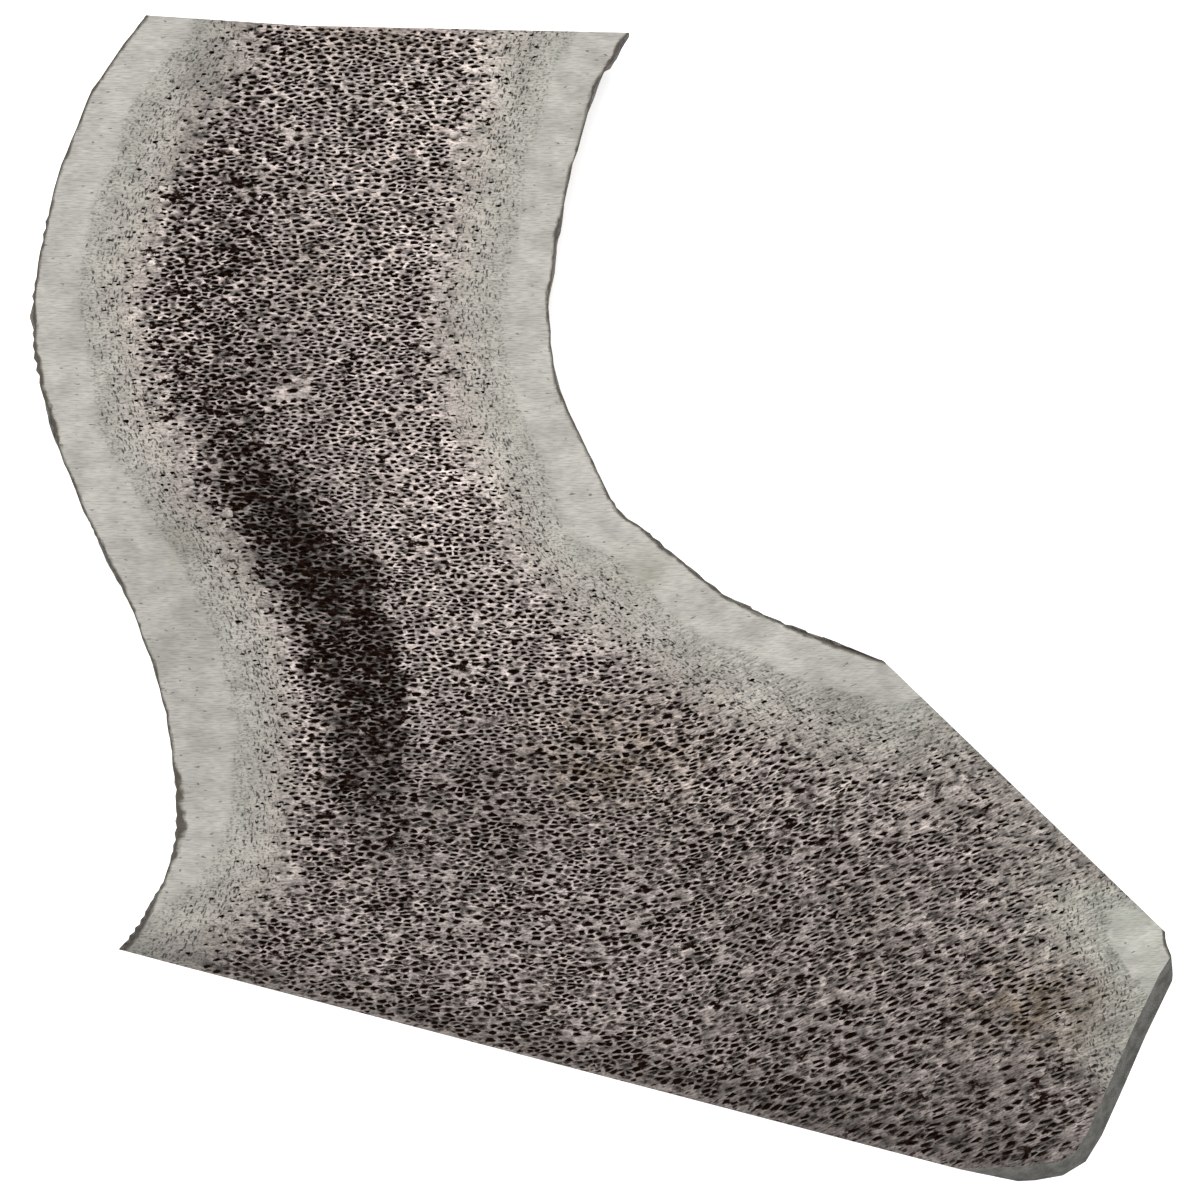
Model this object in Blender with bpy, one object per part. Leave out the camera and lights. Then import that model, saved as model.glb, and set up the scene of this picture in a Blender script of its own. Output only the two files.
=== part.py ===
"""Half of a forked elk antler, sawn lengthways, lying on its barky back with the cut face up.

Run it in Blender 4.5. Metres, +Z up. The origin is under the middle of the piece, on the surface
that it lies on. +Y runs up the beam and +X runs out along the stub of the tine.
"""

import math
import random

import bmesh
import bpy
import numpy as np
from mathutils import Matrix, Vector
from mathutils.bvhtree import BVHTree

MM = 0.001

# Thickness of the half, from the cut face to the lowest point of its back.
THICKNESS = 0.0215

# The grown form, in millimetres from the middle of the cut face. Each station gives a point of the
# rear edge and the point of the front edge across from it, from above the top cut to below the
# bottom one. The front edge runs down the beam, round the crotch and out along the tine.
STATIONS = (
    ((-38.5, 66.0), (6.9, 66.0)),
    ((-45.7, 58.0), (3.0, 56.8)),
    ((-50.8, 51.0), (-0.3, 51.0)),
    ((-54.0, 43.5), (-2.4, 43.5)),
    ((-56.1, 36.0), (-4.2, 35.5)),
    ((-57.1, 28.5), (-5.0, 28.0)),
    ((-56.4, 21.0), (-4.0, 21.0)),
    ((-53.8, 13.5), (-1.1, 14.8)),
    ((-52.2, 9.8), (1.9, 9.4)),
    ((-50.7, 6.0), (5.4, 6.3)),
    ((-47.0, -1.5), (14.2, -0.4)),
    ((-44.3, -9.0), (29.0, -6.4)),
    ((-43.2, -16.5), (45.0, -14.5)),
    ((-42.9, -24.0), (54.4, -28.7)),
    ((-44.8, -30.0), (57.4, -36.8)),
    ((-48.0, -34.8), (58.8, -47.0)),
    ((-51.5, -40.0), (57.0, -59.0)),
    ((-55.0, -47.0), (54.0, -74.0)),
)
STATION_STEPS = 3

# The saw lines on the cut face, in millimetres. The waste lies to the left of each, seen along it.
TOP_CUT = ((-64.0, 60.0), (-45.0, 58.4), (-30.0, 57.4), (2.2, 56.7), (14.0, 56.4))
TINE_CUT = ((17.5, 4.3), (65.5, -41.9))
BOTTOM_CUT = ((75.0, -67.2), (-62.0, -31.4))
END_CUT = (
    (62.4, -31.0),
    (57.6, -38.4),
    (54.9, -44.0),
    (52.7, -49.1),
    (50.5, -54.0),
    (48.9, -56.6),
    (46.6, -58.0),
    (43.8, -58.5),
    (36.0, -58.9),
)
# The tine's end is ground back at the cut face: how far in, and over what depth.
END_BEVEL = (0.0019, 0.0034)

# Cross-section of the back: 2 would be an ellipse, and more is squarer. It is modelled a little
# shallower than the whole thickness, so that the bark's relief reaches the full depth.
SECTION_POWER = 2.5
SECTION_DEPTH = THICKNESS - 0.0005
ACROSS = 40

# The saddle on the back between beam and tine: its line in millimetres, half width and depth.
SADDLE_LINE = ((2.0, 10.0), (-2.0, -40.0))
SADDLE_HALF_WIDTH = 0.009
SADDLE_DEPTH = 0.0036

# Long furrows of the bark. Each wander moves them by a share of a furrow, and gives its waves along
# the beam and across it. The level is where the bare back runs between furrow and ridge.
FURROWS = 8
FURROW_DEPTH = 0.0009
FURROW_LEVEL = 0.6
FURROW_WANDERS = ((0.35, 9.0, 5.0), (0.2, 23.0, -7.0))
FURROW_SHALLOWING = (0.3, 13.0, 17.0)

# The pearls, the warts that stand on the bark.
PEARLS = 90
PEARL_RADIUS = (0.0014, 0.0026)
PEARL_HEIGHT = (0.0004, 0.0009)
PEARL_SEED = 11

# How much of the relief is left at the cut face, and over how many steps it rises to the whole.
EDGE_RELIEF = 0.3
EDGE_STEPS = 4

# Where the bark swells out past the cut face: height along the beam and reach along it, both in
# millimetres, and how far it swells in metres.
REAR_SWELLS = ((21.5, 5.0, 0.0006), (-20.0, 7.0, 0.0010), (-34.0, 3.5, 0.0008))
FRONT_SWELLS = ((52.5, 4.0, 0.0005), (33.0, 4.0, 0.0004))

# How far a saw's cutter reaches past the piece upwards and downwards, and out into the waste.
SAW_OVERRUN = 0.004
SAW_WASTE = 0.045

# The grain of the marrow on the cut face, in degrees from +X: all over, and its turn across the beam
# at a height along it, with the turn's reach. The height and the reach are in millimetres.
GRAIN_TILT = 12.0
GRAIN_TURN = -32.0
GRAIN_TURN_AT = (6.0, 11.0)

# The largest hollows of the marrow, how many open on the cut face and on each sawn end. Each flares
# towards its mouth, and a wall parts it from the next.
FACE_HOLLOWS = 350
TOP_HOLLOWS = 24
TINE_HOLLOWS = 16
BOTTOM_HOLLOWS = 56
HOLLOW_HALF_LENGTH = (0.0006, 0.0014)
HOLLOW_SLIMNESS = 0.55
HOLLOW_DEPTH = 0.0016
HOLLOW_FLARE = 1.18
HOLLOW_SIDES = 5
HOLLOW_WALL = 0.0004
HOLLOW_TURN = 0.3
HOLLOW_TRIES = 12000
HOLLOW_SEED = 23
# How far each hollow's cutter stands proud, and how likely one is to open away from the seam.
HOLLOW_PROUD = 0.0003
HOLLOW_CHANCE = 0.3

# Points nearer than this that the saw cuts leave are merged, so that no sliver stays.
WELD = 0.00003

# Bone without large hollows: inside the natural surface, on the face and on the ends, and beside a
# sawn edge.
FACE_RIM = 0.0095
END_RIM = 0.0065
SAWN_RIM = 0.0018

# The dark seam of open marrow down the beam, in millimetres, and how far the hollows crowd round it.
SEAM = (
    (-37.0, 52.0),
    (-39.5, 40.0),
    (-39.0, 26.0),
    (-36.0, 16.0),
    (-31.0, 6.0),
    (-23.0, -10.0),
    (-22.0, -18.0),
)
SEAM_REACH = 0.0096

BONE_COLOUR = (0.31, 0.27, 0.245)
BARK_COLOUR = (0.085, 0.062, 0.045)


def clear_scene():
    """Removes everything that the startup scene holds."""
    for obj in list(bpy.data.objects):
        bpy.data.objects.remove(obj, do_unlink=True)


def material(name, colour, roughness):
    """A plain Principled finish."""
    made = bpy.data.materials.new(name)
    made.use_nodes = True
    shader = made.node_tree.nodes["Principled BSDF"]
    shader.inputs["Base Color"].default_value = (*colour, 1.0)
    shader.inputs["Roughness"].default_value = roughness
    shader.inputs["Metallic"].default_value = 0.0
    made.diffuse_color = (*colour, 1.0)
    return made


def placed(name, mesh, materials):
    """A new object in the scene that holds the finished bmesh."""
    data = bpy.data.meshes.new(name)
    mesh.to_mesh(data)
    mesh.free()
    for finish in materials:
        data.materials.append(finish)
    obj = bpy.data.objects.new(name, data)
    bpy.context.scene.collection.objects.link(obj)
    return obj


def in_metres(line):
    """A line of the plan as an array in metres."""
    return np.array(line, float) * MM


def smooth_path(points, steps):
    """Points on the Catmull-Rom curve through the given ones, steps to each span, in metres."""
    knots = in_metres(points)
    ends = np.vstack([2 * knots[0] - knots[1], knots, 2 * knots[-1] - knots[-2]])
    path = []
    for before, start, end, after in zip(ends, ends[1:], ends[2:], ends[3:]):
        for t in np.arange(steps) / steps:
            straight = 2 * start + (end - before) * t
            bent = (2 * before - 5 * start + 4 * end - after) * t**2
            turned = (3 * start - before - 3 * end + after) * t**3
            path.append(0.5 * (straight + bent + turned))
    path.append(knots[-1])
    return np.array(path)


def distance_to_path(points, path):
    """Shortest distance from each point to a broken line."""
    start, step = path[:-1], np.diff(path, axis=0)
    offset = points[:, None, :] - start[None]
    share = np.clip((offset * step).sum(-1) / (step * step).sum(-1), 0.0, 1.0)
    return np.linalg.norm(offset - share[..., None] * step, axis=-1).min(axis=1)


def bell(value, half_width):
    """1 at nothing, falling smoothly away past the half width."""
    return np.exp(-((value / half_width) ** 2))


def swell(height, swells):
    """How far the bark stands out past the cut face at each height along the beam."""
    return sum(reach * bell(height - at * MM, span * MM) for at, span, reach in swells)


def bare_back(rear, front):
    """Grid of points on the back without its relief: stations by steps from rear to front edge."""
    angle = np.linspace(0.0, math.pi, ACROSS + 1)
    power = 2.0 / SECTION_POWER
    share = 0.5 - 0.5 * np.sign(np.cos(angle)) * np.abs(np.cos(angle)) ** power
    depth = np.sin(angle).clip(0.0) ** power
    grid = np.zeros((len(rear), ACROSS + 1, 3))
    grid[..., :2] = rear[:, None] + (front - rear)[:, None] * share[None, :, None]
    from_saddle = distance_to_path(grid[..., :2].reshape(-1, 2), in_metres(SADDLE_LINE))
    saddle = SADDLE_DEPTH * bell(from_saddle, SADDLE_HALF_WIDTH).reshape(grid.shape[:2])
    grid[..., 2] = (saddle - SECTION_DEPTH) * depth
    across = (front - rear) / np.linalg.norm(front - rear, axis=1, keepdims=True)
    for side, edge, swells in ((-1.0, rear, REAR_SWELLS), (1.0, front, FRONT_SWELLS)):
        from_edge = angle if side < 0 else math.pi - angle
        lift = np.where(from_edge < math.pi / 3, np.sin(3 * from_edge), 0.0)
        amount = swell(edge[:, 1], swells)
        grid[..., :2] += side * across[:, None] * (amount[:, None] * lift)[..., None]
    return grid


def outward(grid):
    """Unit normals of the grid, pointing out of the antler."""
    normal = np.cross(np.gradient(grid, axis=1), np.gradient(grid, axis=0))
    return normal / np.linalg.norm(normal, axis=-1, keepdims=True)


def bark_relief(grid):
    """How far the bark stands out at each point of the grid: furrows along the beam, and pearls."""
    stations, steps = grid.shape[:2]
    row = np.linspace(0.0, 1.0, stations)[:, None]
    column = np.linspace(0.0, 1.0, steps)[None]
    wander = sum(share * np.sin(along * row + across * column) for share, along, across in FURROW_WANDERS)
    ridge = np.abs(np.sin(math.pi * (FURROWS * column + wander)))
    share, along, across = FURROW_SHALLOWING
    deepness = 1.0 - share + share * np.sin(along * row + across * column)
    relief = FURROW_DEPTH * (ridge - FURROW_LEVEL) * deepness
    chance = random.Random(PEARL_SEED)
    for _ in range(PEARLS):
        at = grid[chance.randrange(2, stations - 2), chance.randrange(2, steps - 2)]
        radius = chance.uniform(*PEARL_RADIUS)
        height = chance.uniform(*PEARL_HEIGHT)
        relief += height * bell(np.linalg.norm(grid - at, axis=-1), radius)
    from_edge = np.minimum(np.arange(steps), np.arange(steps)[::-1])
    return relief * np.interp(from_edge, (0, EDGE_STEPS), (EDGE_RELIEF, 1.0))


def natural_surface():
    """The bark of the half, as a grid of points: stations by steps from rear to front edge."""
    rear = smooth_path([rear for rear, _ in STATIONS], STATION_STEPS)
    front = smooth_path([front for _, front in STATIONS], STATION_STEPS)
    grid = bare_back(rear, front)
    grid += outward(grid) * bark_relief(grid)[..., None]
    grid[..., 2] = grid[..., 2].clip(-THICKNESS, 0.0)
    grid[:, [0, -1], 2] = 0.0
    return grid


def grown_form(grid, bark, bone):
    """The half beam with its tine before the saw cuts: the bark closed by the flat cut face."""
    mesh = bmesh.new()
    rows = [[mesh.verts.new(point) for point in line] for line in grid]
    for upper, lower in zip(rows, rows[1:]):
        for step in range(ACROSS):
            face = mesh.faces.new((upper[step], upper[step + 1], lower[step + 1], lower[step]))
            face.smooth = True
    mesh.faces.new(rows[0])
    mesh.faces.new(rows[-1])
    edge = [line[0] for line in rows] + [line[-1] for line in reversed(rows)]
    mesh.faces.new(edge).material_index = 1
    bmesh.ops.recalc_face_normals(mesh, faces=mesh.faces)
    return placed("antler", mesh, (bark, bone))


def moved_left(line, distance):
    """A line of the plan moved to its left, seen along it, in metres."""
    points = in_metres(line)
    along = np.gradient(points, axis=0)
    along /= np.linalg.norm(along, axis=1, keepdims=True)
    return points + distance * np.stack([-along[:, 1], along[:, 0]], axis=1)


def saw_cutter(name, line, bevel=(0.0, 0.001)):
    """The waste beyond one saw line, as a solid from above the cut face to below the back."""
    inset, depth = bevel
    rise = inset * SAW_OVERRUN / depth
    under = THICKNESS + SAW_OVERRUN
    mesh = bmesh.new()
    rings = []
    for height, shift in ((SAW_OVERRUN, -inset - rise), (-depth, 0.0), (-under, 0.0)):
        near = moved_left(line, shift)
        beyond = moved_left((line[-1], line[0]), -SAW_WASTE)
        rings.append([mesh.verts.new((*point, height)) for point in (*near, *beyond)])
    for upper, lower in zip(rings, rings[1:]):
        for corner, point in enumerate(upper):
            mesh.faces.new((point, upper[corner - 1], lower[corner - 1], lower[corner]))
    mesh.faces.new(rings[0])
    mesh.faces.new(rings[-1])
    bmesh.ops.recalc_face_normals(mesh, faces=mesh.faces)
    return placed(name, mesh, bpy.data.materials[:])


def surface_tree(grid):
    """The natural surface as a search tree, its faces turned outwards."""
    corner = np.arange(grid.shape[0] * grid.shape[1]).reshape(grid.shape[:2])
    quads = np.stack([corner[:-1, :-1], corner[:-1, 1:], corner[1:, 1:], corner[1:, :-1]], axis=-1)
    return BVHTree.FromPolygons(grid.reshape(-1, 3).tolist(), quads.reshape(-1, 4).tolist())


def in_waste(spot, saw, margin):
    """Whether a point of the plan is in the waste left of a saw line, or within the margin of it."""
    start, step = saw[:-1], np.diff(saw, axis=0)
    offset = spot - start
    share = (offset * step).sum(axis=1) / (step * step).sum(axis=1)
    reach = np.linalg.norm(offset - share.clip(0.0, 1.0)[:, None] * step, axis=1)
    nearest = int(np.argmin(reach))
    beside = 0.0 <= share[nearest] <= 1.0 or 0 < nearest < len(step) - 1
    left = step[nearest, 0] * offset[nearest, 1] > step[nearest, 1] * offset[nearest, 0]
    return reach[nearest] < margin or (beside and left)


def in_marrow(point, tree, rim, saws):
    """Whether a point is deeper than the rim inside the natural surface, and clear of the saws."""
    surface, normal, _, distance = tree.find_nearest(point)
    if distance < rim or (point - surface).dot(normal) > 0.0:
        return False
    return not any(in_waste(np.array(point[:2]), in_metres(saw), SAWN_RIM) for saw in saws)


def face_spot(chance):
    """A random point of the cut face's plan, with the ways out of the face and along its grain."""
    point = Vector((chance.uniform(-0.058, 0.058), chance.uniform(-0.06, 0.06), 0.0))
    at, reach = GRAIN_TURN_AT
    tilt = math.radians(GRAIN_TILT + GRAIN_TURN * bell(point.y / MM - at, reach))
    return point, Vector((0.0, 0.0, 1.0)), Vector((math.cos(tilt), math.sin(tilt), 0.0))


def end_spot(line):
    """A function that gives random points of the face that one saw line leaves."""
    points = in_metres(line)
    lengths = np.linalg.norm(np.diff(points, axis=0), axis=1)

    def spot(chance):
        """A random point on this sawn end, with the ways out of it and along it."""
        part = chance.choices(range(len(lengths)), weights=lengths)[0]
        along = (points[part + 1] - points[part]) / lengths[part]
        flat = points[part] + along * chance.uniform(0.0, lengths[part])
        point = Vector((*flat, chance.uniform(-THICKNESS, -SAWN_RIM)))
        return point, Vector((-along[1], along[0], 0.0)), Vector((*along, 0.0))

    return spot


def hollows(count, spot, tree, rim, saws, seed):
    """Random hollows with a wall between them, crowding round the seam: frames and half lengths."""
    chance = random.Random(seed)
    seam = smooth_path(SEAM, STATION_STEPS)
    smallest, largest = HOLLOW_HALF_LENGTH
    found = []
    for _ in range(HOLLOW_TRIES):
        point, out, along = spot(chance)
        half_length = smallest + (largest - smallest) * chance.random() ** 2
        turn = Matrix.Rotation(chance.uniform(-HOLLOW_TURN, HOLLOW_TURN), 4, "Z")
        from_seam = distance_to_path(np.array([point[:2]]), seam)[0]
        if chance.random() > HOLLOW_CHANCE + (1.0 - HOLLOW_CHANCE) * bell(from_seam, SEAM_REACH):
            continue
        room = HOLLOW_WALL + HOLLOW_FLARE * half_length
        if any((point - at).length < room + HOLLOW_FLARE * size for at, size, _ in found):
            continue
        if in_marrow(point, tree, rim, saws):
            frame = Matrix((along, out.cross(along), out)).transposed().to_4x4()
            found.append((point, half_length, Matrix.Translation(point) @ frame @ turn))
        if len(found) == count:
            break
    return [(frame, half_length) for _, half_length, frame in found]


def all_hollows(tree):
    """The hollows of the cut face and of the three sawn ends."""
    saws = (TOP_CUT, TINE_CUT, BOTTOM_CUT, END_CUT)
    found = hollows(FACE_HOLLOWS, face_spot, tree, FACE_RIM, saws, HOLLOW_SEED)
    for line, count in ((TOP_CUT, TOP_HOLLOWS), (TINE_CUT, TINE_HOLLOWS), (BOTTOM_CUT, BOTTOM_HOLLOWS)):
        others = [saw for saw in saws if saw is not line]
        found += hollows(count, end_spot(line), tree, END_RIM, others, count)
    return found


def hollow_cutter(tree):
    """One mesh of tapering plugs, each of which sinks one hollow into a sawn face."""
    mesh = bmesh.new()
    slim = Matrix.Diagonal((1.0, HOLLOW_SLIMNESS, 1.0, 1.0))
    middle = Matrix.Translation((0.0, 0.0, 0.5 * (HOLLOW_PROUD - HOLLOW_DEPTH)))
    for frame, half_length in all_hollows(tree):
        bmesh.ops.create_cone(
            mesh,
            cap_ends=True,
            segments=HOLLOW_SIDES,
            radius1=0.0,
            radius2=HOLLOW_FLARE * half_length,
            depth=HOLLOW_PROUD + HOLLOW_DEPTH,
            matrix=frame @ middle @ slim,
        )
    return placed("hollow_cutter", mesh, bpy.data.materials[:])


def cut_away(antler, cutter):
    """Takes the cutter's shape out of the antler, and hides the cutter."""
    for face in cutter.data.polygons:
        face.material_index = 1
    cutter.parent = antler
    cutter.hide_render = True
    cutter.display_type = "WIRE"
    step = antler.modifiers.new(cutter.name, "BOOLEAN")
    step.operation = "DIFFERENCE"
    step.solver = "EXACT"
    step.object = cutter


def clean_slivers(antler):
    """Merges the points that the saw cuts leave all but on one another."""
    weld = antler.modifiers.new("weld", "WELD")
    weld.merge_threshold = WELD


def split_faces(antler):
    """Divides the many-sided faces into well shaped triangles."""
    triangles = antler.modifiers.new("triangles", "TRIANGULATE")
    triangles.ngon_method = "BEAUTY"
    triangles.min_vertices = 5


def stand_on_origin(antler):
    """Moves the piece so that the origin is under the middle of its box, on what it lies on."""
    bpy.context.view_layer.update()
    finished = antler.evaluated_get(bpy.context.evaluated_depsgraph_get())
    corners = np.array([vertex.co for vertex in finished.data.vertices])
    low, high = corners.min(axis=0), corners.max(axis=0)
    antler.location = Vector((-0.5 * (low[0] + high[0]), -0.5 * (low[1] + high[1]), -low[2]))


def main():
    clear_scene()
    bark = material("antler_bark", BARK_COLOUR, 0.7)
    bone = material("antler_bone", BONE_COLOUR, 0.75)
    surface = natural_surface()
    antler = grown_form(surface, bark, bone)
    cut_away(antler, saw_cutter("top_saw", TOP_CUT))
    cut_away(antler, saw_cutter("tine_saw", TINE_CUT))
    cut_away(antler, saw_cutter("bottom_saw", BOTTOM_CUT))
    cut_away(antler, saw_cutter("end_saw", END_CUT, END_BEVEL))
    clean_slivers(antler)
    cut_away(antler, hollow_cutter(surface_tree(surface)))
    split_faces(antler)
    stand_on_origin(antler)


main()
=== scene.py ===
"""The looks of a split elk antler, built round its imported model.

Metres, +Z up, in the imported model's frame. The cut face is up and +Y runs up the beam. The shape
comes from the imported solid: its bark is refined and furrowed, and its cut face and sawn ends are
filled again with the marrow's pores.
"""

import logging
import math
from collections import defaultdict
from dataclasses import dataclass, field
from enum import Enum
from typing import Callable, Iterable, NamedTuple, Protocol

import bmesh
import bpy
import numpy as np
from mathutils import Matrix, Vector, noise
from mathutils.geometry import delaunay_2d_cdt
from mathutils.kdtree import KDTree

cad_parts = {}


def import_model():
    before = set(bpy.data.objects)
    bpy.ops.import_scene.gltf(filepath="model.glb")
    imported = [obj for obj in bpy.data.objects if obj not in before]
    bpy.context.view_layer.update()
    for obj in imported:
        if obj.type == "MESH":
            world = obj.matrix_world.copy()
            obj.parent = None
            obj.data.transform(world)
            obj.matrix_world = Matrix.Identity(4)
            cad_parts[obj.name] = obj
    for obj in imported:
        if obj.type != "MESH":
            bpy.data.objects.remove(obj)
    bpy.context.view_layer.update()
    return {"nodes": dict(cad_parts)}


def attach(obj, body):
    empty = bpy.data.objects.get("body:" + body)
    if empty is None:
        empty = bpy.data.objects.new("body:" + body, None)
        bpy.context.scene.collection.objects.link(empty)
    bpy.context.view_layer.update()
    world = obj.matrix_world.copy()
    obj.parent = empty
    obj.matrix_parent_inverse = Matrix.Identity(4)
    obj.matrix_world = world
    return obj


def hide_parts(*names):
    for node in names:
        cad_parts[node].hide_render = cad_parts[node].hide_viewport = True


MM = 0.001
NODE = "antler"
BODY = "root"
BAKE_MAP = "OFBake"

Array = np.ndarray
Colour = tuple[float, float, float]
Size = tuple[float, float, float]
Place = tuple[float, float]
Band = tuple[float, float]
log = logging.getLogger("scene")


def smoothstep(value: Array, low: float, high: float) -> Array:
    """0 below low, 1 above high, and a smooth rise between them."""
    share = np.clip((np.asarray(value, float) - low) / (high - low), 0.0, 1.0)
    return share * share * (3.0 - 2.0 * share)


def bell(value: Array, half_width: float) -> Array:
    """1 at nothing, falling smoothly away past the half width."""
    return np.exp(-((np.asarray(value, float) / half_width) ** 2))


def cloud(points: Array, size: float, seed: float = 0.0) -> Array:
    """Smooth noise from about -1 to 1 at each point, with lumps of about the given size.

    Args:
        points: The places, two or three numbers each, in metres.
        size: Width of a lump in metres.
        seed: Moves the noise, so that two clouds differ.

    Returns:
        One number for each point.
    """
    scaled = np.zeros((len(points), 3))
    scaled[:, : points.shape[1]] = points / size
    scaled[:, 2] += seed
    return np.array([noise.noise(Vector(point)) for point in scaled])


class Lumps(NamedTuple):
    """A noise that several parts of the piece vary by: its strength, its lumps' width and its seed."""

    strength: float
    size: float
    seed: float = 0.0

    def over(self, points: Array) -> Array:
        """The noise at each point, from about minus its strength to its strength."""
        return self.strength * cloud(points, self.size, self.seed)


class Corner(NamedTuple):
    """A part of the cut face that begins softly, over a band to the right and over one down."""

    right: Band
    down: Band

    def over(self, points: Array) -> Array:
        """1 in the part, 0 away from it."""
        return smoothstep(points[:, 0], *self.right) * smoothstep(-points[:, 1], *self.down)


def path_distance(points: Array, path: Iterable[Place]) -> Array:
    """Shortest distance in plan from each point to a broken line."""
    corners = np.array(path)
    best = np.full(len(points), np.inf)
    for corner, along in zip(corners, np.diff(corners, axis=0)):
        offset = points[:, :2] - corner
        share = np.clip(offset @ along / (along @ along), 0.0, 1.0)
        best = np.minimum(best, np.linalg.norm(offset - share[:, None] * along, axis=1))
    return best


class Spot(NamedTuple):
    """A soft place on the cut face: its middle and its half sizes in millimetres, and its strength."""

    x: float
    y: float
    half_width: float
    half_height: float
    strength: float

    def over(self, points: Array) -> Array:
        """The strength at each point, fading away past the half sizes."""
        middle = np.array((self.x, self.y)) * MM
        reach = np.array((self.half_width, self.half_height)) * MM
        return self.strength * bell(np.linalg.norm((points[:, :2] - middle) / reach, axis=1), 1.0)


def inside(points: Array, loop: Array) -> Array:
    """Which points lie inside a closed outline."""
    within = np.zeros(len(points), bool)
    for (ax, ay), (bx, by) in zip(loop, np.roll(loop, -1, axis=0)):
        crosses = (points[:, 1] < ay) != (points[:, 1] < by)
        if ay != by:
            within ^= crosses & (points[:, 0] < ax + (points[:, 1] - ay) * (bx - ax) / (by - ay))
    return within


def search_tree(points: Iterable[Vector]) -> KDTree:
    """A balanced search tree of points in space."""
    held = list(points)
    tree = KDTree(len(held))
    for index, point in enumerate(held):
        tree.insert(point, index)
    tree.balance()
    return tree


def nearest(tree: KDTree, points: Array) -> Array:
    """Distance from each point, of two or three numbers, to the nearest point of a tree."""
    solid = np.zeros((len(points), 3))
    solid[:, : points.shape[1]] = points
    return np.array([tree.find(point)[2] for point in solid])


def along_outline(loop: Array, step: float) -> list[Vector]:
    """Points at even steps along a closed flat outline."""
    points = []
    for start, end in zip(loop, np.roll(loop, -1, axis=0)):
        count = max(1, math.ceil(np.linalg.norm(end - start) / step))
        flat = [start + (end - start) * number / count for number in range(count)]
        points.extend(Vector((*place, 0.0)) for place in flat)
    return points


class Region(Enum):
    """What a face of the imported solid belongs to."""

    CUT_FACE = "cut face"
    SAWN_END = "sawn end"
    BEVEL = "bevel"
    BARK = "bark"


class Finish(Enum):
    """The piece's material slots."""

    SAWN = 0
    BARK = 1
    GROUND = 2


class Layer(Enum):
    """The numbers that each point of the piece carries for the materials."""

    PIT = "pit"
    TONE = "tone"
    MARROW = "marrow"
    EDGE = "edge"
    STAIN = "stain"
    RISE = "rise"
    OLIVE = "olive"
    RELIEF = "relief"


class Sheet(Protocol):
    """A sawn surface that can be laid out flat."""

    def flat(self, points: Array) -> Array:
        """Points of space as points of the flat layout."""

    def solid(self, flat: Array, depth: Array) -> Array:
        """Points of the layout, sunk to a depth under the surface, as points of space."""


@dataclass
class CutPlane:
    """The flat cut face. Its layout is the plan."""

    height: float

    def flat(self, points: Array) -> Array:
        """The plan coordinates of each point."""
        return points[:, :2]

    def solid(self, flat: Array, depth: Array) -> Array:
        """Points of the plan at a depth under the cut face."""
        return np.column_stack([flat, self.height - depth])


@dataclass
class SawnWall:
    """An upright sawn end. Its layout is the length along it in plan, and the height."""

    knots: Array
    outward: Vector
    least_step: float = 0.02 * MM

    def __post_init__(self) -> None:
        """Orders the wall's plan points along it and measures the way along them."""
        chord = Vector((-self.outward.y, self.outward.x))
        self.chord = np.array(chord.normalized())
        ordered = self.knots[np.argsort(self.knots @ self.chord)]
        apart = np.linalg.norm(np.diff(ordered, axis=0), axis=1) > self.least_step
        self.knots = ordered[np.concatenate([[True], apart])]
        self.reach = self.knots @ self.chord
        steps = np.linalg.norm(np.diff(self.knots, axis=0), axis=1)
        self.length = np.concatenate([[0.0], np.cumsum(steps)])
        along = np.gradient(self.knots, axis=0)
        along /= np.linalg.norm(along, axis=1, keepdims=True)
        self.normal = np.column_stack([along[:, 1], -along[:, 0]])

    def flat(self, points: Array) -> Array:
        """The length along the wall and the height of each point."""
        length = np.interp(points[:, :2] @ self.chord, self.reach, self.length)
        return np.column_stack([length, points[:, 2]])

    def solid(self, flat: Array, depth: Array) -> Array:
        """Points of the wall at a depth behind it."""
        at = [np.interp(flat[:, 0], self.length, self.knots[:, axis]) for axis in (0, 1)]
        out = [np.interp(flat[:, 0], self.length, self.normal[:, axis]) for axis in (0, 1)]
        return np.column_stack([at[0] - out[0] * depth, at[1] - out[1] * depth, flat[:, 1]])


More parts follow.
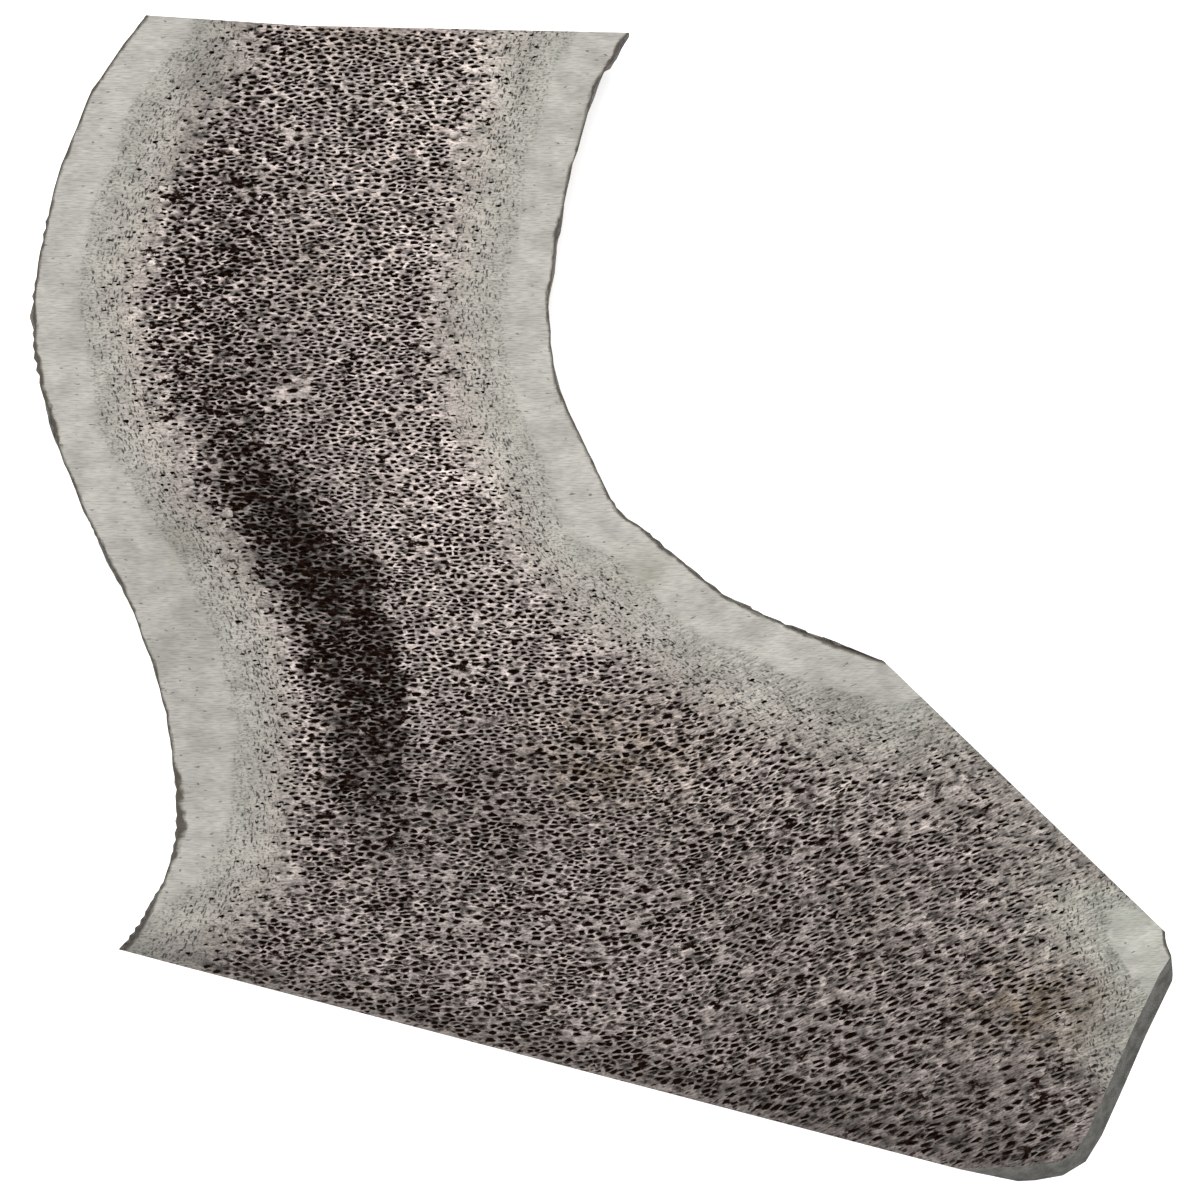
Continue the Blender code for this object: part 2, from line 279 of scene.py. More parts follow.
@dataclass
class Skin:
    """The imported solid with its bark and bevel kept, and an open outline left for each sawn surface."""

    node: bpy.types.Object
    longest_edge: float = 1.4 * MM
    passes: int = 3
    level: float = 0.999
    upright: float = 0.002
    bevel_lean: Band = (0.35, 0.65)
    least_patch: float = 200 * MM * MM
    least_plane: float = 8 * MM * MM
    plane_turn: float = 0.999
    plane_gap: float = 0.1 * MM
    sharpest_turn: float = math.cos(math.radians(30.0))
    weld: float = 2e-6

    def __post_init__(self) -> None:
        """Reads the solid, sorts its faces and opens its sawn surfaces."""
        self.mesh = bmesh.new()
        self.mesh.from_mesh(self.node.data)
        bmesh.ops.remove_doubles(self.mesh, verts=self.mesh.verts, dist=self.weld)
        self.mesh.normal_update()
        self.top = max(vertex.co.z for vertex in self.mesh.verts)
        self.marks = self.mesh.edges.layers.int.new("outline")
        self.layers = {layer: self.mesh.verts.layers.float.new(layer.value) for layer in Layer}
        self.uv = self.mesh.loops.layers.uv.new(BAKE_MAP)
        self.sheets: list[Sheet] = []
        self.open_up()
        self.refine()

    def kind(self, face: bmesh.types.BMFace) -> Region:
        """What the face looks like by its own slope and height."""
        lean = face.normal.z
        if lean > self.level and min(vertex.co.z for vertex in face.verts) > self.top - self.weld:
            return Region.CUT_FACE
        if abs(lean) < self.upright:
            return Region.SAWN_END
        if self.bevel_lean[0] < lean < self.bevel_lean[1]:
            return Region.BEVEL
        return Region.BARK

    def patches(self, faces: Iterable[bmesh.types.BMFace], turn: float) -> list[set[bmesh.types.BMFace]]:
        """The faces in connected patches, largest first. A sharper turn than given parts two patches."""
        left = set(faces)
        found = []
        while left:
            patch = set()
            front = [left.pop()]
            while front:
                face = front.pop()
                patch.add(face)
                for edge in face.edges:
                    for other in edge.link_faces:
                        if other in left and other.normal.dot(face.normal) > turn:
                            left.discard(other)
                            front.append(other)
            found.append(patch)
        return sorted(found, key=lambda patch: -sum(face.calc_area() for face in patch))

    def sawn_planes(self, faces: list[bmesh.types.BMFace]) -> list[bmesh.types.BMFace]:
        """The upright faces in a saw's plane. The bark's rim is upright too, but never as wide."""
        planes = []
        for face in sorted(faces, key=lambda face: -face.calc_area()):
            spot = face.calc_center_median()
            for plane in planes:
                first = plane[0]
                gap = abs(first.normal.dot(spot - first.verts[0].co))
                if first.normal.dot(face.normal) > self.plane_turn and gap < self.plane_gap:
                    plane.append(face)
                    break
            else:
                planes.append([face])
        wide = [plane for plane in planes if sum(face.calc_area() for face in plane) > self.least_plane]
        return [face for plane in wide for face in plane]

    def open_up(self) -> None:
        """Marks each sawn surface's outline and removes its faces with those of its hollows."""
        kinds = defaultdict(list)
        for face in self.mesh.faces:
            kinds[self.kind(face)].append(face)
        sawn = [set(kinds[Region.CUT_FACE])]
        for patch in self.patches(self.sawn_planes(kinds[Region.SAWN_END]), self.sharpest_turn):
            if sum(face.calc_area() for face in patch) > self.least_patch:
                sawn.append(patch)
        bevel = self.patches(kinds[Region.BEVEL], self.sharpest_turn)[0]
        taken = set().union(bevel, *sawn)
        bark = self.patches([face for face in self.mesh.faces if face not in taken], -1.0)[0]
        for number, patch in enumerate(sawn):
            self.mark(number, patch, (bevel, bark, *sawn))
            self.sheets.append(self.sheet_of(patch))
        for face in bark:
            face.smooth = True
            face.material_index = Finish.BARK.value
        for face in bevel:
            face.material_index = Finish.GROUND.value
        kept = bevel | bark
        gone = [face for face in self.mesh.faces if face not in kept]
        bmesh.ops.delete(self.mesh, geom=gone, context="FACES_ONLY")
        loose = [edge for edge in self.mesh.edges if not edge.link_faces and not edge[self.marks]]
        bmesh.ops.delete(self.mesh, geom=loose, context="EDGES")
        alone = [vertex for vertex in self.mesh.verts if not vertex.link_edges]
        bmesh.ops.delete(self.mesh, geom=alone, context="VERTS")

    def mark(self, number: int, patch: set[bmesh.types.BMFace], outer: tuple[set, ...]) -> None:
        """Marks the edges where a sawn surface meets the outer surfaces. Its hollows stay unmarked."""
        for face in patch:
            for edge in face.edges:
                beside = [other for other in edge.link_faces if other not in patch]
                if beside and any(beside[0] in surface for surface in outer):
                    edge[self.marks] |= 1 << number

    def sheet_of(self, patch: set[bmesh.types.BMFace]) -> Sheet:
        """The flat layout of a sawn patch."""
        if next(iter(patch)).normal.z > self.level:
            return CutPlane(self.top)
        outward = sum((face.normal * face.calc_area() for face in patch), Vector())
        corners = {vertex for face in patch for vertex in face.verts}
        return SawnWall(np.array([vertex.co.xy for vertex in corners]), outward.normalized())

    def refine(self) -> None:
        """Divides every long edge of the bark, the bevel and the outlines."""
        for _ in range(self.passes):
            long = [edge for edge in self.mesh.edges if edge.calc_length() > self.longest_edge]
            bmesh.ops.subdivide_edges(self.mesh, edges=long, cuts=1)
            bmesh.ops.triangulate(self.mesh, faces=self.mesh.faces)

    def outline(self, number: int) -> list[bmesh.types.BMVert]:
        """The points round a sawn surface, in order."""
        edges = {edge for edge in self.mesh.edges if edge[self.marks] & 1 << number}
        edge = edges.pop()
        start, here = edge.verts
        loop = [start]
        while here != start:
            loop.append(here)
            edge = next(other for other in here.link_edges if other in edges)
            edges.discard(edge)
            here = edge.other_vert(here)
        if edges:
            log.warning("outline %d leaves %d edges", number, len(edges))
        return loop

    def outlines_at(self, vertex: bmesh.types.BMVert) -> int:
        """Which outlines pass through a point, one bit each."""
        bits = 0
        for edge in vertex.link_edges:
            bits |= edge[self.marks]
        return bits

    def set(self, vertex: bmesh.types.BMVert, layer: Layer, value: float) -> None:
        """Writes one number at a point."""
        vertex[self.layers[layer]] = value


def is_bark(face: bmesh.types.BMFace) -> bool:
    """Whether the face is part of the natural surface."""
    return face.material_index == Finish.BARK.value


@dataclass
class Relief:
    """The natural surface: long furrows with low pearls between them.

    Everything is cut inwards, so that the piece stays inside its solid. The rim of the cut face is
    drawn in unevenly, which leaves the thin scalloped line of bark that is seen round the face. The
    swellings are where that line is wider, by their strength in millimetres.
    """

    skin: Skin
    furrow_depth: float = 0.75 * MM
    furrows: Lumps = Lumps(1.0, 4.2 * MM, 31.0)
    furrow_bends: Lumps = Lumps(0.35, 9 * MM, 35.0)
    furrow_sides: Band = (0.02, 0.42)
    run: float = 4.5
    pearl_depth: float = 0.3 * MM
    pearls: Lumps = Lumps(1.0, 2.4 * MM, 41.0)
    pearl_sides: Band = (-0.35, 0.35)
    pearl_run: float = 0.7
    pearl_part: float = 0.35
    fade: float = 2.2 * MM
    dirt: float = 0.75
    dark_reach: float = 5 * MM
    line: Band = (0.06 * MM, 0.30 * MM)
    line_waves: Lumps = Lumps(1.0, 2.6 * MM, 47.0)
    line_sides: Band = (-0.4, 0.5)
    line_relief: float = 0.05
    swelling_waves: Lumps = Lumps(0.5, 3 * MM, 51.0)
    least_swelling: float = 0.75
    swellings: tuple[Spot, ...] = (
        Spot(-55.0, 20.0, 4.5, 4.5, 0.42),
        Spot(-42.3, -21.5, 5.5, 5.5, 0.50),
        Spot(-47.0, -34.0, 4.0, 4.0, 0.60),
        Spot(22.0, -3.5, 4.0, 4.0, 0.15),
        Spot(-57.0, 29.0, 7.0, 7.0, 0.40),
        Spot(-50.0, 4.0, 5.0, 5.0, 0.35),
    )

    def carve(self) -> None:
        """Moves the bark's points and writes how high each stands."""
        mesh = self.skin.mesh
        rim, field_verts = [], []
        for vertex in mesh.verts:
            if not any(is_bark(face) for face in vertex.link_faces):
                continue
            bits = self.skin.outlines_at(vertex)
            if not bits and all(is_bark(face) for face in vertex.link_faces):
                field_verts.append(vertex)
            elif bits == 1 and all(is_bark(face) for face in vertex.link_faces):
                rim.append(vertex)
        border = search_tree(vertex.co for vertex in mesh.verts if self.skin.outlines_at(vertex))
        self.carve_field(field_verts, border)
        self.draw_in(rim)

    def heights(self, points: Array) -> Array:
        """How high the relief stands at each point, from 0 in the furrows to 1 on the ridges."""
        along = points * (1.0, 1.0 / self.run, 1.0)
        furrows = np.abs(self.furrows.over(along) + self.furrow_bends.over(points))
        return smoothstep(furrows, *self.furrow_sides)

    def carve_field(self, verts: list[bmesh.types.BMVert], border: KDTree) -> None:
        """Sinks the furrows and the gaps between the pearls."""
        points = np.array([vertex.co for vertex in verts])
        height = self.heights(points)
        pearls = smoothstep(self.pearls.over(points * (1.0, self.pearl_run, 1.0)), *self.pearl_sides)
        away = nearest(border, points)
        free = smoothstep(away, 0.0, self.fade)
        clean = 1.0 - self.dirt + self.dirt * smoothstep(away, 0.0, self.dark_reach)
        depth = free * (self.furrow_depth * (1.0 - height) + self.pearl_depth * (1.0 - pearls))
        shown = clean * ((1.0 - self.pearl_part) * height + self.pearl_part * pearls)
        for vertex, sink, relief in zip(verts, depth, shown):
            vertex.co -= vertex.normal * sink
            self.skin.set(vertex, Layer.RELIEF, relief)

    def draw_in(self, verts: list[bmesh.types.BMVert]) -> None:
        """Draws the rim of the cut face in, by the width of bark that shows beside it."""
        points = np.array([vertex.co for vertex in verts])
        low, high = self.line
        width = low + (high - low) * smoothstep(self.line_waves.over(points[:, :2]), *self.line_sides)
        uneven = self.least_swelling + self.swelling_waves.over(points)
        for swelling in self.swellings:
            width += swelling.over(points) * MM * uneven
        for vertex, inward in zip(verts, width):
            outward = Vector(sum((face.normal for face in vertex.link_faces), Vector()).xy)
            step = outward.normalized() * inward
            vertex.co -= Vector((step.x, step.y, 0.0))
            self.skin.set(vertex, Layer.RELIEF, self.line_relief)


@dataclass
class Rim:
    """The line where the natural surface meets the sawn ones, and the depth of bone under it.

    The tine's saw cut took a stretch of the natural surface away. Where that ran, on the height of
    the cut face, is the sawn-off side, so that the bone behind the cut still gets denser towards it.
    """

    skin: Skin
    sawn_off_side: tuple[Place, ...] = ((0.031, -0.003), (0.048, -0.010), (0.061, -0.026))
    step: float = 0.3 * MM

    def __post_init__(self) -> None:
        """Gathers the points of the line in search trees, with and without the sawn-off side."""
        natural = [vertex.co for vertex in self.vertices()]
        self.natural = search_tree(natural)
        lost = []
        corners = np.array(self.sawn_off_side)
        for start, end in zip(corners, corners[1:]):
            for share in np.arange(0.0, 1.0, self.step / np.linalg.norm(end - start)):
                lost.append(Vector((*(start + share * (end - start)), self.skin.top)))
        self.whole = search_tree(natural + lost)

    def vertices(self) -> set[bmesh.types.BMVert]:
        """The bark's outermost points."""
        found = set()
        for edge in self.skin.mesh.edges:
            if sum(is_bark(face) for face in edge.link_faces) == 1:
                found.update(edge.verts)
        return found


class Station(NamedTuple):
    """A place down the dark seam: its height in plan, its middle, its half width and its strength."""

    y: float
    x: float
    half_width: float
    strength: float


@dataclass
class Bone:
    """How the bone changes from its compact outer layer to its open marrow, and down the beam.

    The bulges are where the compact layer is thicker or thinner, by their strength in millimetres.
    Each loss is how much thinner it is, and how much shorter it fades, at the tip or under the face.
    """

    rim: Rim
    under_from: Band = (0.5 * MM, 6 * MM)
    tip_from: Band = (40 * MM, 50 * MM)
    compact: float = 3.7 * MM
    fading: float = 10.3 * MM
    tip_loss: Band = (1.0 * MM, 3.5 * MM)
    under_loss: Band = (0.6 * MM, 4.2 * MM)
    depth_waves: Lumps = Lumps(1.3 * MM, 7 * MM)
    thick_side: float = 2.6 * MM
    thick_middle: float = -6 * MM
    thick_reach: float = 16 * MM
    thick_left: Band = (28 * MM, 34 * MM)
    bulges: tuple[Spot, ...] = (Spot(-43.0, -36.0, 9.0, 9.0, -4.5), Spot(45.5, -31.5, 9.0, 9.0, 3.0))
    seam: tuple[Station, ...] = (
        Station(-0.0285, -0.0222, 0.0026, 0.00),
        Station(-0.0230, -0.0228, 0.0034, 0.50),
        Station(-0.0176, -0.0229, 0.0038, 1.00),
        Station(-0.0100, -0.0236, 0.0042, 1.00),
        Station(-0.0038, -0.0254, 0.0050, 1.00),
        Station(0.0020, -0.0281, 0.0060, 1.00),
        Station(0.0077, -0.0320, 0.0052, 1.00),
        Station(0.0120, -0.0350, 0.0045, 0.95),
        Station(0.0170, -0.0372, 0.0048, 0.62),
        Station(0.0260, -0.0388, 0.0050, 0.48),
        Station(0.0400, -0.0393, 0.0050, 0.42),
        Station(0.0540, -0.0365, 0.0042, 0.20),
    )
    seam_waves: tuple[Lumps, Lumps] = (Lumps(1.8 * MM, 5 * MM, 3.0), Lumps(1.1 * MM, 1.5 * MM, 4.0))
    soft_edge: Band = (0.45, 1.5)
    sharp_edge: Band = (0.75, 1.30)
    sharp_below: Band = (-4 * MM, 2 * MM)
    seam_under: float = 0.8
    fork: Place = (-20 * MM, -20 * MM)
    up_beam: tuple[float, float, float] = (-14.0, 30.0, 33.1)
    lower_from: Band = (-10 * MM, 4 * MM)
    tine: Corner = Corner((12 * MM, 32 * MM), (6 * MM, 16 * MM))
    coarse: Corner = Corner((5 * MM, 32 * MM), (36 * MM, 46 * MM))
    crotch: tuple[Place, ...] = ((0.000, 0.011), (0.012, 0.001), (0.030, -0.007))
    crotch_reach: float = 11 * MM
    crotch_tilt: float = -28.0
    beam_tilt: float = 12.0
    bend_tilt: float = 32.0
    bend_middle: float = 6 * MM
    bend_reach: float = 11 * MM
    tilt_waves: Lumps = Lumps(9.0, 4 * MM, 9.0)
    streak_angle: float = 22.0
    streak_run: float = 5.0
    streak_waves: Lumps = Lumps(1.0, 1.0 * MM, 27.0)
    rising: Band = (-8 * MM, 24 * MM)

    def under(self, points: Array) -> Array:
        """0 at the cut face, 1 well below it."""
        return smoothstep(self.rim.skin.top - points[:, 2], *self.under_from)

    def tip_share(self, points: Array) -> Array:
        """1 at the tine's rounded corner."""
        return smoothstep(points[:, 0], *self.tip_from)

    def porosity(self, points: Array) -> Array:
        """0 in the compact outer layer, 1 in the open marrow."""
        depth = nearest(self.rim.whole, points) + self.depth_waves.over(points)
        tip, under = self.tip_share(points), self.under(points)
        left = smoothstep(-points[:, 0], *self.thick_left)
        thick = bell(points[:, 1] - self.thick_middle, self.thick_reach) * left
        compact = self.compact + self.thick_side * thick
        compact = compact - self.tip_loss[0] * tip - self.under_loss[0] * under
        for bulge in self.bulges:
            compact += bulge.over(points) * MM * (1.0 - under)
        fading = self.fading - self.tip_loss[1] * tip - self.under_loss[1] * under
        return smoothstep((depth - compact) / fading, 0.0, 1.0)

    def seam_share(self, points: Array) -> Array:
        """1 on the dark seam of open marrow, 0 away from it. It ends sharply on its right below."""
        y = points[:, 1]
        heights, middles, widths, strengths = np.array(self.seam).T
        wander = sum(waves.over(points[:, :2]) for waves in self.seam_waves)
        offset = (points[:, 0] + wander - np.interp(y, heights, middles)) / np.interp(y, heights, widths)
        soft = 1.0 - smoothstep(np.abs(offset), *self.soft_edge)
        sharp = 1.0 - smoothstep(offset, *self.sharp_edge)
        below = smoothstep(-y, *self.sharp_below) * (offset > 0.0)
        share = soft + (sharp - soft) * below
        share *= 1.0 - self.seam_under * self.under(points)
        return share * np.interp(y, heights, strengths)

    def lower_share(self, points: Array) -> Array:
        """1 in the greyer bone below the fork, 0 above it."""
        x, y, length = self.up_beam
        above = ((points[:, 0] - self.fork[0]) * x + (points[:, 1] - self.fork[1]) * y) / length
        return smoothstep(-above, *self.lower_from)

    def streak_share(self, points: Array) -> Array:
        """1 where the pores run in long streaks up to the right, in the tine."""
        return self.tine.over(points)

    def streaks(self, points: Array) -> Array:
        """Noise from about -1 to 1 over the tine, in long bands up to the right. 0 elsewhere."""
        angle = math.radians(self.streak_angle)
        along = points[:, 0] * math.cos(angle) + points[:, 1] * math.sin(angle)
        across = points[:, 1] * math.cos(angle) - points[:, 0] * math.sin(angle)
        bands = self.streak_waves.over(np.column_stack([along / self.streak_run, across]))
        return bands * self.streak_share(points)

    def coarse_share(self, points: Array) -> Array:
        """1 in the coarse marrow at the bottom of the tine."""
        return self.coarse.over(points)

    def rise(self, x: Array) -> Array:
        """How far the grain, followed out along the tine, has risen at each x."""
        start, length = self.rising
        share = np.clip((x - start) / length, 0.0, 1.0)
        bend = length * (share**3 - 0.5 * share**4)
        return math.tan(math.radians(self.streak_angle)) * (bend + np.maximum(x - start - length, 0.0))

    def tilt(self, points: Array) -> Array:
        """Angle of the grain on the cut face from where its rise would take it, in radians."""
        start, length = self.rising
        bend = bell(points[:, 1] - self.bend_middle, self.bend_reach)
        degrees = self.beam_tilt - self.bend_tilt * bend
        degrees *= 1.0 - smoothstep(points[:, 0], start, start + length)
        near = bell(path_distance(points, self.crotch), self.crotch_reach)
        degrees += near * (self.crotch_tilt - degrees)
        degrees += self.tilt_waves.over(points[:, :2])
        return np.radians(degrees)


def scattered(points: Array, reach: Array, tilt: Array, stretch: Array) -> Array:
    """Which points to keep so that each keeps its distance from the others.

    Args:
        points: Candidates in the plane, tried in order.
        reach: How far along the grain the next point may come, one for each.
        tilt: Angle of the grain at each, in radians.
        stretch: How much further apart points are along the grain than across it, one for each.

    Returns:
        The indexes of the kept points.
    """
    side = float(reach.max())
    grid = defaultdict(list)
    kept = []
    turns = np.column_stack([points, reach, np.cos(tilt), np.sin(tilt), stretch]).tolist()
    for index, (x, y, room, cosine, sine, wide) in enumerate(turns):
        column, row = int(x // side), int(y // side)
        free = True
        for cell in ((column + i, row + j) for i in (0, -1, 1) for j in (0, -1, 1)):
            for ax, ay, other in grid[cell]:
                along = (x - ax) * cosine + (y - ay) * sine
                across = ((y - ay) * cosine - (x - ax) * sine) * wide
                if along * along + across * across < 0.25 * (room + other) ** 2:
                    free = False
                    break
            if not free:
                break
        if free:
            grid[column, row].append((x, y, room))
            kept.append(index)
    return np.array(kept)


@dataclass
class Cells:
    """The cells round scattered points: the places nearer to each than to any other.

    The corners of all the cells lie in one list, cell by cell and in order round each. A junction
    is a place where cells meet, and each has one corner in every cell that meets there.
    """

    points: Array
    stretch: float
    reach: float

    def __post_init__(self) -> None:
        """Finds the corners from the triangles between neighbouring points."""
        scaled = self.points * (1.0, self.stretch) / MM
        made = delaunay_2d_cdt([Vector(point) for point in scaled], [], [], 0, 1e-6)
        place = np.array([vertex[:] for vertex in made[0]])
        origin = np.array([source[0] for source in made[3]])
        triangles = np.array(made[2])
        corner = place[triangles]
        a, b, c = corner[:, 0], corner[:, 1] - corner[:, 0], corner[:, 2] - corner[:, 0]
        double = 2.0 * (b[:, 0] * c[:, 1] - b[:, 1] * c[:, 0])
        b_square, c_square = (b * b).sum(axis=1), (c * c).sum(axis=1)
        across = c[:, 1] * b_square - b[:, 1] * c_square
        up = b[:, 0] * c_square - c[:, 0] * b_square
        centre = a + np.column_stack([across, up]) / double[:, None]
        vertex = triangles.reshape(-1)
        junction = np.repeat(np.arange(len(triangles)), 3)
        ray = centre[junction] - place[vertex]
        order = np.lexsort((np.arctan2(ray[:, 1], ray[:, 0]), origin[vertex]))
        self.owner = origin[vertex[order]]
        self.junction = junction[order]
        self.corner = centre[self.junction] * MM / (1.0, self.stretch)
        self.junctions = len(triangles)
        self.middle = np.column_stack([self.average(self.corner[:, axis]) for axis in (0, 1)])
        self.draw_in()

    def average(self, value: Array) -> Array:
        """The mean over each cell's corners."""
        total = np.bincount(self.owner, value, len(self.points))
        return total / np.maximum(np.bincount(self.owner, minlength=len(self.points)), 1)

    def draw_in(self) -> None:
        """Draws in the corners that lie too far out, round the outermost points."""
        offset = self.corner - self.points[self.owner]
        away = np.linalg.norm(offset * (1.0, self.stretch), axis=1)
        open_cell = self.average(away > self.reach) > 0.0
        self.middle[open_cell] = self.points[open_cell]
        self.corner = self.points[self.owner] + offset * np.minimum(1.0, self.reach / away)[:, None]

    def flatten(self, loss: Array) -> None:
        """Lowers each cell, by a share of its height across the grain."""
        middle = self.middle[self.owner, 1]
        self.corner[:, 1] = middle + (self.corner[:, 1] - middle) * (1.0 - loss[self.owner])

    def lift(self, rise: Callable[[Array], Array]) -> None:
        """Moves every place up by the rise that its x has."""
        for places in (self.points, self.corner, self.middle):
            places[:, 1] += rise(places[:, 0])

    def before(self) -> Array:
        """The index of the corner before each, round its cell."""
        first = np.concatenate([[True], self.owner[1:] != self.owner[:-1]])
        last = np.append(np.flatnonzero(first)[1:], len(self.owner)) - 1
        before = np.arange(len(self.owner)) - 1
        before[first] = last
        return before


@dataclass
class Pores:
    """The openings of a sawn surface, in its layout: their rims, and one deepest point for each."""

    owner: Array
    rim: Array
    sunk: Array
    tone: Array
    middle: Array
    depth: Array
    # How dark each pore is painted at its deepest point: partly the marrow's colour, partly painted
    # shade.
    darkness: Array

    def edges(self, start: int) -> list[tuple[int, int]]:
        """The rims, and the lines from each rim to its middle, as pairs of point numbers.

        Args:
            start: The number of the first rim point. The middles follow the rims.

        Returns:
            The pairs.
        """
        first = np.concatenate([[True], self.owner[1:] != self.owner[:-1]])
        begins = np.flatnonzero(first)
        after = np.arange(1, len(self.owner) + 1)
        after[np.append(begins[1:], len(self.owner)) - 1] = begins
        here = np.arange(len(self.owner)) + start
        middle = np.cumsum(first) - 1 + start + len(self.owner)
        return [*zip(here.tolist(), (after + start).tolist()), *zip(here.tolist(), middle.tolist())]


@dataclass
class Ground:
    """What the bone is like at some points of space."""

    bone: Bone
    points: Array

    def __post_init__(self) -> None:
        """Asks the bone once for each of its shares."""
        self.porous = self.bone.porosity(self.points)
        self.seam = self.bone.seam_share(self.points)
        self.lower = self.bone.lower_share(self.points)
        self.tine = self.bone.streak_share(self.points)
        self.coarse = self.bone.coarse_share(self.points)
        self.streaks = self.bone.streaks(self.points)


@dataclass
class Marrow:
    """Opens the marrow's pores on a sawn surface.

    Spacing is how far apart the pores are along the grain, and stretch how much closer across it.
    Each growth, openness and shade says how the pores differ where the bone is of some kind: lower
    is below the fork, tine and coarse are along the tine and at its bottom, outer is near the
    compact layer, and seam is in the dark seam.
    """

    bone: Bone
    spacing: float
    stretch: float
    seed: int
    depth: float = 1.1 * MM
    crowd: float = 9.0
    unevenness: float = 0.40
    tine_unevenness: float = 0.25
    lower_growth: float = 0.02
    tine_growth: float = 0.60
    coarse_growth: float = 0.60
    outer_loss: float = 0.20
    outer_ends: Band = (0.4, 0.95)
    compact_growth: float = 0.6
    compact_ends: float = 0.06
    large: Band = (0.07, 1.9)
    tine_large: float = 0.05
    outer_stretch: float = 1.25
    stretched_from: Band = (0.2, 0.9)
    tine_stretch: float = 1.1
    widest_cell: float = 1.1
    margin: float = 0.1 * MM
    least_edge: float = 0.15 * MM
    roundness: float = 0.6
    widest: float = 0.93
    first_pores: Band = (0.05, 0.3)
    least_likely: float = 0.1
    least_corners: int = 4
    openness: Band = (0.43, 0.66)
    seam_openness: float = 0.07
    crowds: tuple[Lumps, Lumps] = (Lumps(1.0, 2.2 * MM, 5.0), Lumps(0.6, 6.5 * MM, 6.0))
    crowding: float = 0.12
    streak_openness: float = 0.10
    coarse_openness: float = 0.09
    lower_openness: float = 0.07
    jitter: Band = (0.86, 1.16)
    flatness: float = 0.22
    closed: float = 0.12
    shrink: float = 0.6
    shrinks: int = 4
    worn_share: tuple[float, float, float] = (0.01, 0.02, 0.30)
    worn_depth: Band = (0.05 * MM, 0.34 * MM)
    strand_run: float = 3.4
    strands: Lumps = Lumps(1.0, 0.42 * MM, 13.0)
    strands_from: Band = (0.3, 0.9)
    strand_shade: Band = (1.0, 1.1)
    luck_shade: Band = (0.20, 0.12)
    # Painted highlight and shade: each pore's lower rim is made lighter and its upper rim darker.
    painted_rim_light_and_shade: Band = (0.22, 0.06)
    # Painted shade: rim points on walls that broke away and lie lower are darkened by this share.
    sunk_painted_shade: float = 0.3
    tone_range: Band = (0.25, 1.55)
    seam_shine: float = 0.9
    shallow_share: tuple[float, float, float] = (0.10, 0.30, 0.5)
    # Darkness at a pore's deepest point, in the lighter pores and in the rest: partly painted shade.
    shallow: Band = (0.06, 0.25)
    deep: Band = (0.5, 1.0)
    deepest: float = 0.7

    def rise(self, sheet: Sheet) -> Callable[[Array], Array]:
        """How far the grain has risen along a sawn surface. It runs level on the ends."""
        return self.bone.rise if isinstance(sheet, CutPlane) else np.zeros_like

    def level(self, flat: Array, rise: Callable[[Array], Array]) -> Array:
        """Points of a layout, lowered by the grain's rise, so that the grain runs level."""
        return flat - np.column_stack([np.zeros(len(flat)), rise(flat[:, 0])])

    def seeds(self, sheet: Sheet, outline: Array) -> Array:
        """Scattered points of the layout, one for each place where a pore may open."""
        chance = np.random.default_rng(self.seed)
        low, high = outline.min(axis=0), outline.max(axis=0)
        count = int(self.crowd * self.stretch * np.prod(high - low) / self.spacing**2)
        flat = low + chance.random((count, 2)) * (high - low)
        flat = flat[inside(flat, outline)]
        points = sheet.solid(flat, np.zeros(len(flat)))
        porous = self.bone.porosity(points)
        lower, tine = self.bone.lower_share(points), self.bone.streak_share(points)
        spread = self.unevenness * (1.0 + self.tine_unevenness * tine)
        reach = self.spacing * np.exp(chance.normal(0.0, 1.0, len(flat)) * spread)
        coarse = self.coarse_growth * self.bone.coarse_share(points)
        reach *= 1.0 + self.lower_growth * lower + self.tine_growth * tine + coarse
        reach *= 1.0 - self.outer_loss * (1.0 - smoothstep(porous, *self.outer_ends))
        reach *= 1.0 + self.compact_growth * (1.0 - smoothstep(porous, 0.0, self.compact_ends))
        share, growth = self.large
        reach[chance.random(len(flat)) < share + self.tine_large * tine] *= growth
        tilt, wide = np.zeros(len(flat)), self.stretch
        if isinstance(sheet, CutPlane):
            tilt = self.bone.tilt(points)
            share = smoothstep(porous, *self.stretched_from)
            wide = self.outer_stretch + (wide - self.outer_stretch) * share
        level = self.level(flat, self.rise(sheet))
        return flat[scattered(level, reach, tilt, wide + self.tine_stretch * tine)]

    def open(self, sheet: Sheet, outline: Array) -> tuple[Pores, Array]:
        """The pores of a sawn surface, and the places between them that carry solid bone.

        Args:
            sheet: The surface.
            outline: Its outline in its layout.

        Returns:
            The pores, and an array of flat points.
        """
        flat = self.seeds(sheet, outline)
        here = Ground(self.bone, sheet.solid(flat, np.zeros(len(flat))))
        chance = np.random.default_rng(self.seed + 1)
        rise = self.rise(sheet)
        cells = Cells(self.level(flat, rise), self.stretch, self.widest_cell * self.spacing)
        cells.flatten(self.flatness * here.tine)
        cells.lift(rise)
        edge = search_tree(along_outline(outline, self.margin))
        room = nearest(edge, flat)
        rim, cut = self.rims(cells, here, outline, edge, room, chance)
        likely = smoothstep(here.porous, *self.first_pores)
        likely *= self.least_likely + (1.0 - self.least_likely) * here.porous**2
        likely *= 1.0 - self.closed * here.lower
        opens = (chance.random(len(flat)) < likely) & ~cut
        clear = np.abs(rim - rim[cells.before()]) @ (1.0, self.stretch) > self.least_edge
        opens &= np.bincount(cells.owner[clear], minlength=len(flat)) >= self.least_corners
        kept = clear & opens[cells.owner]
        solid = flat[~opens & (room > 3 * self.margin)]
        worn = self.worn(cells, opens, here, chance)
        return self.pores(cells, kept, rim, here, worn, room, chance), solid

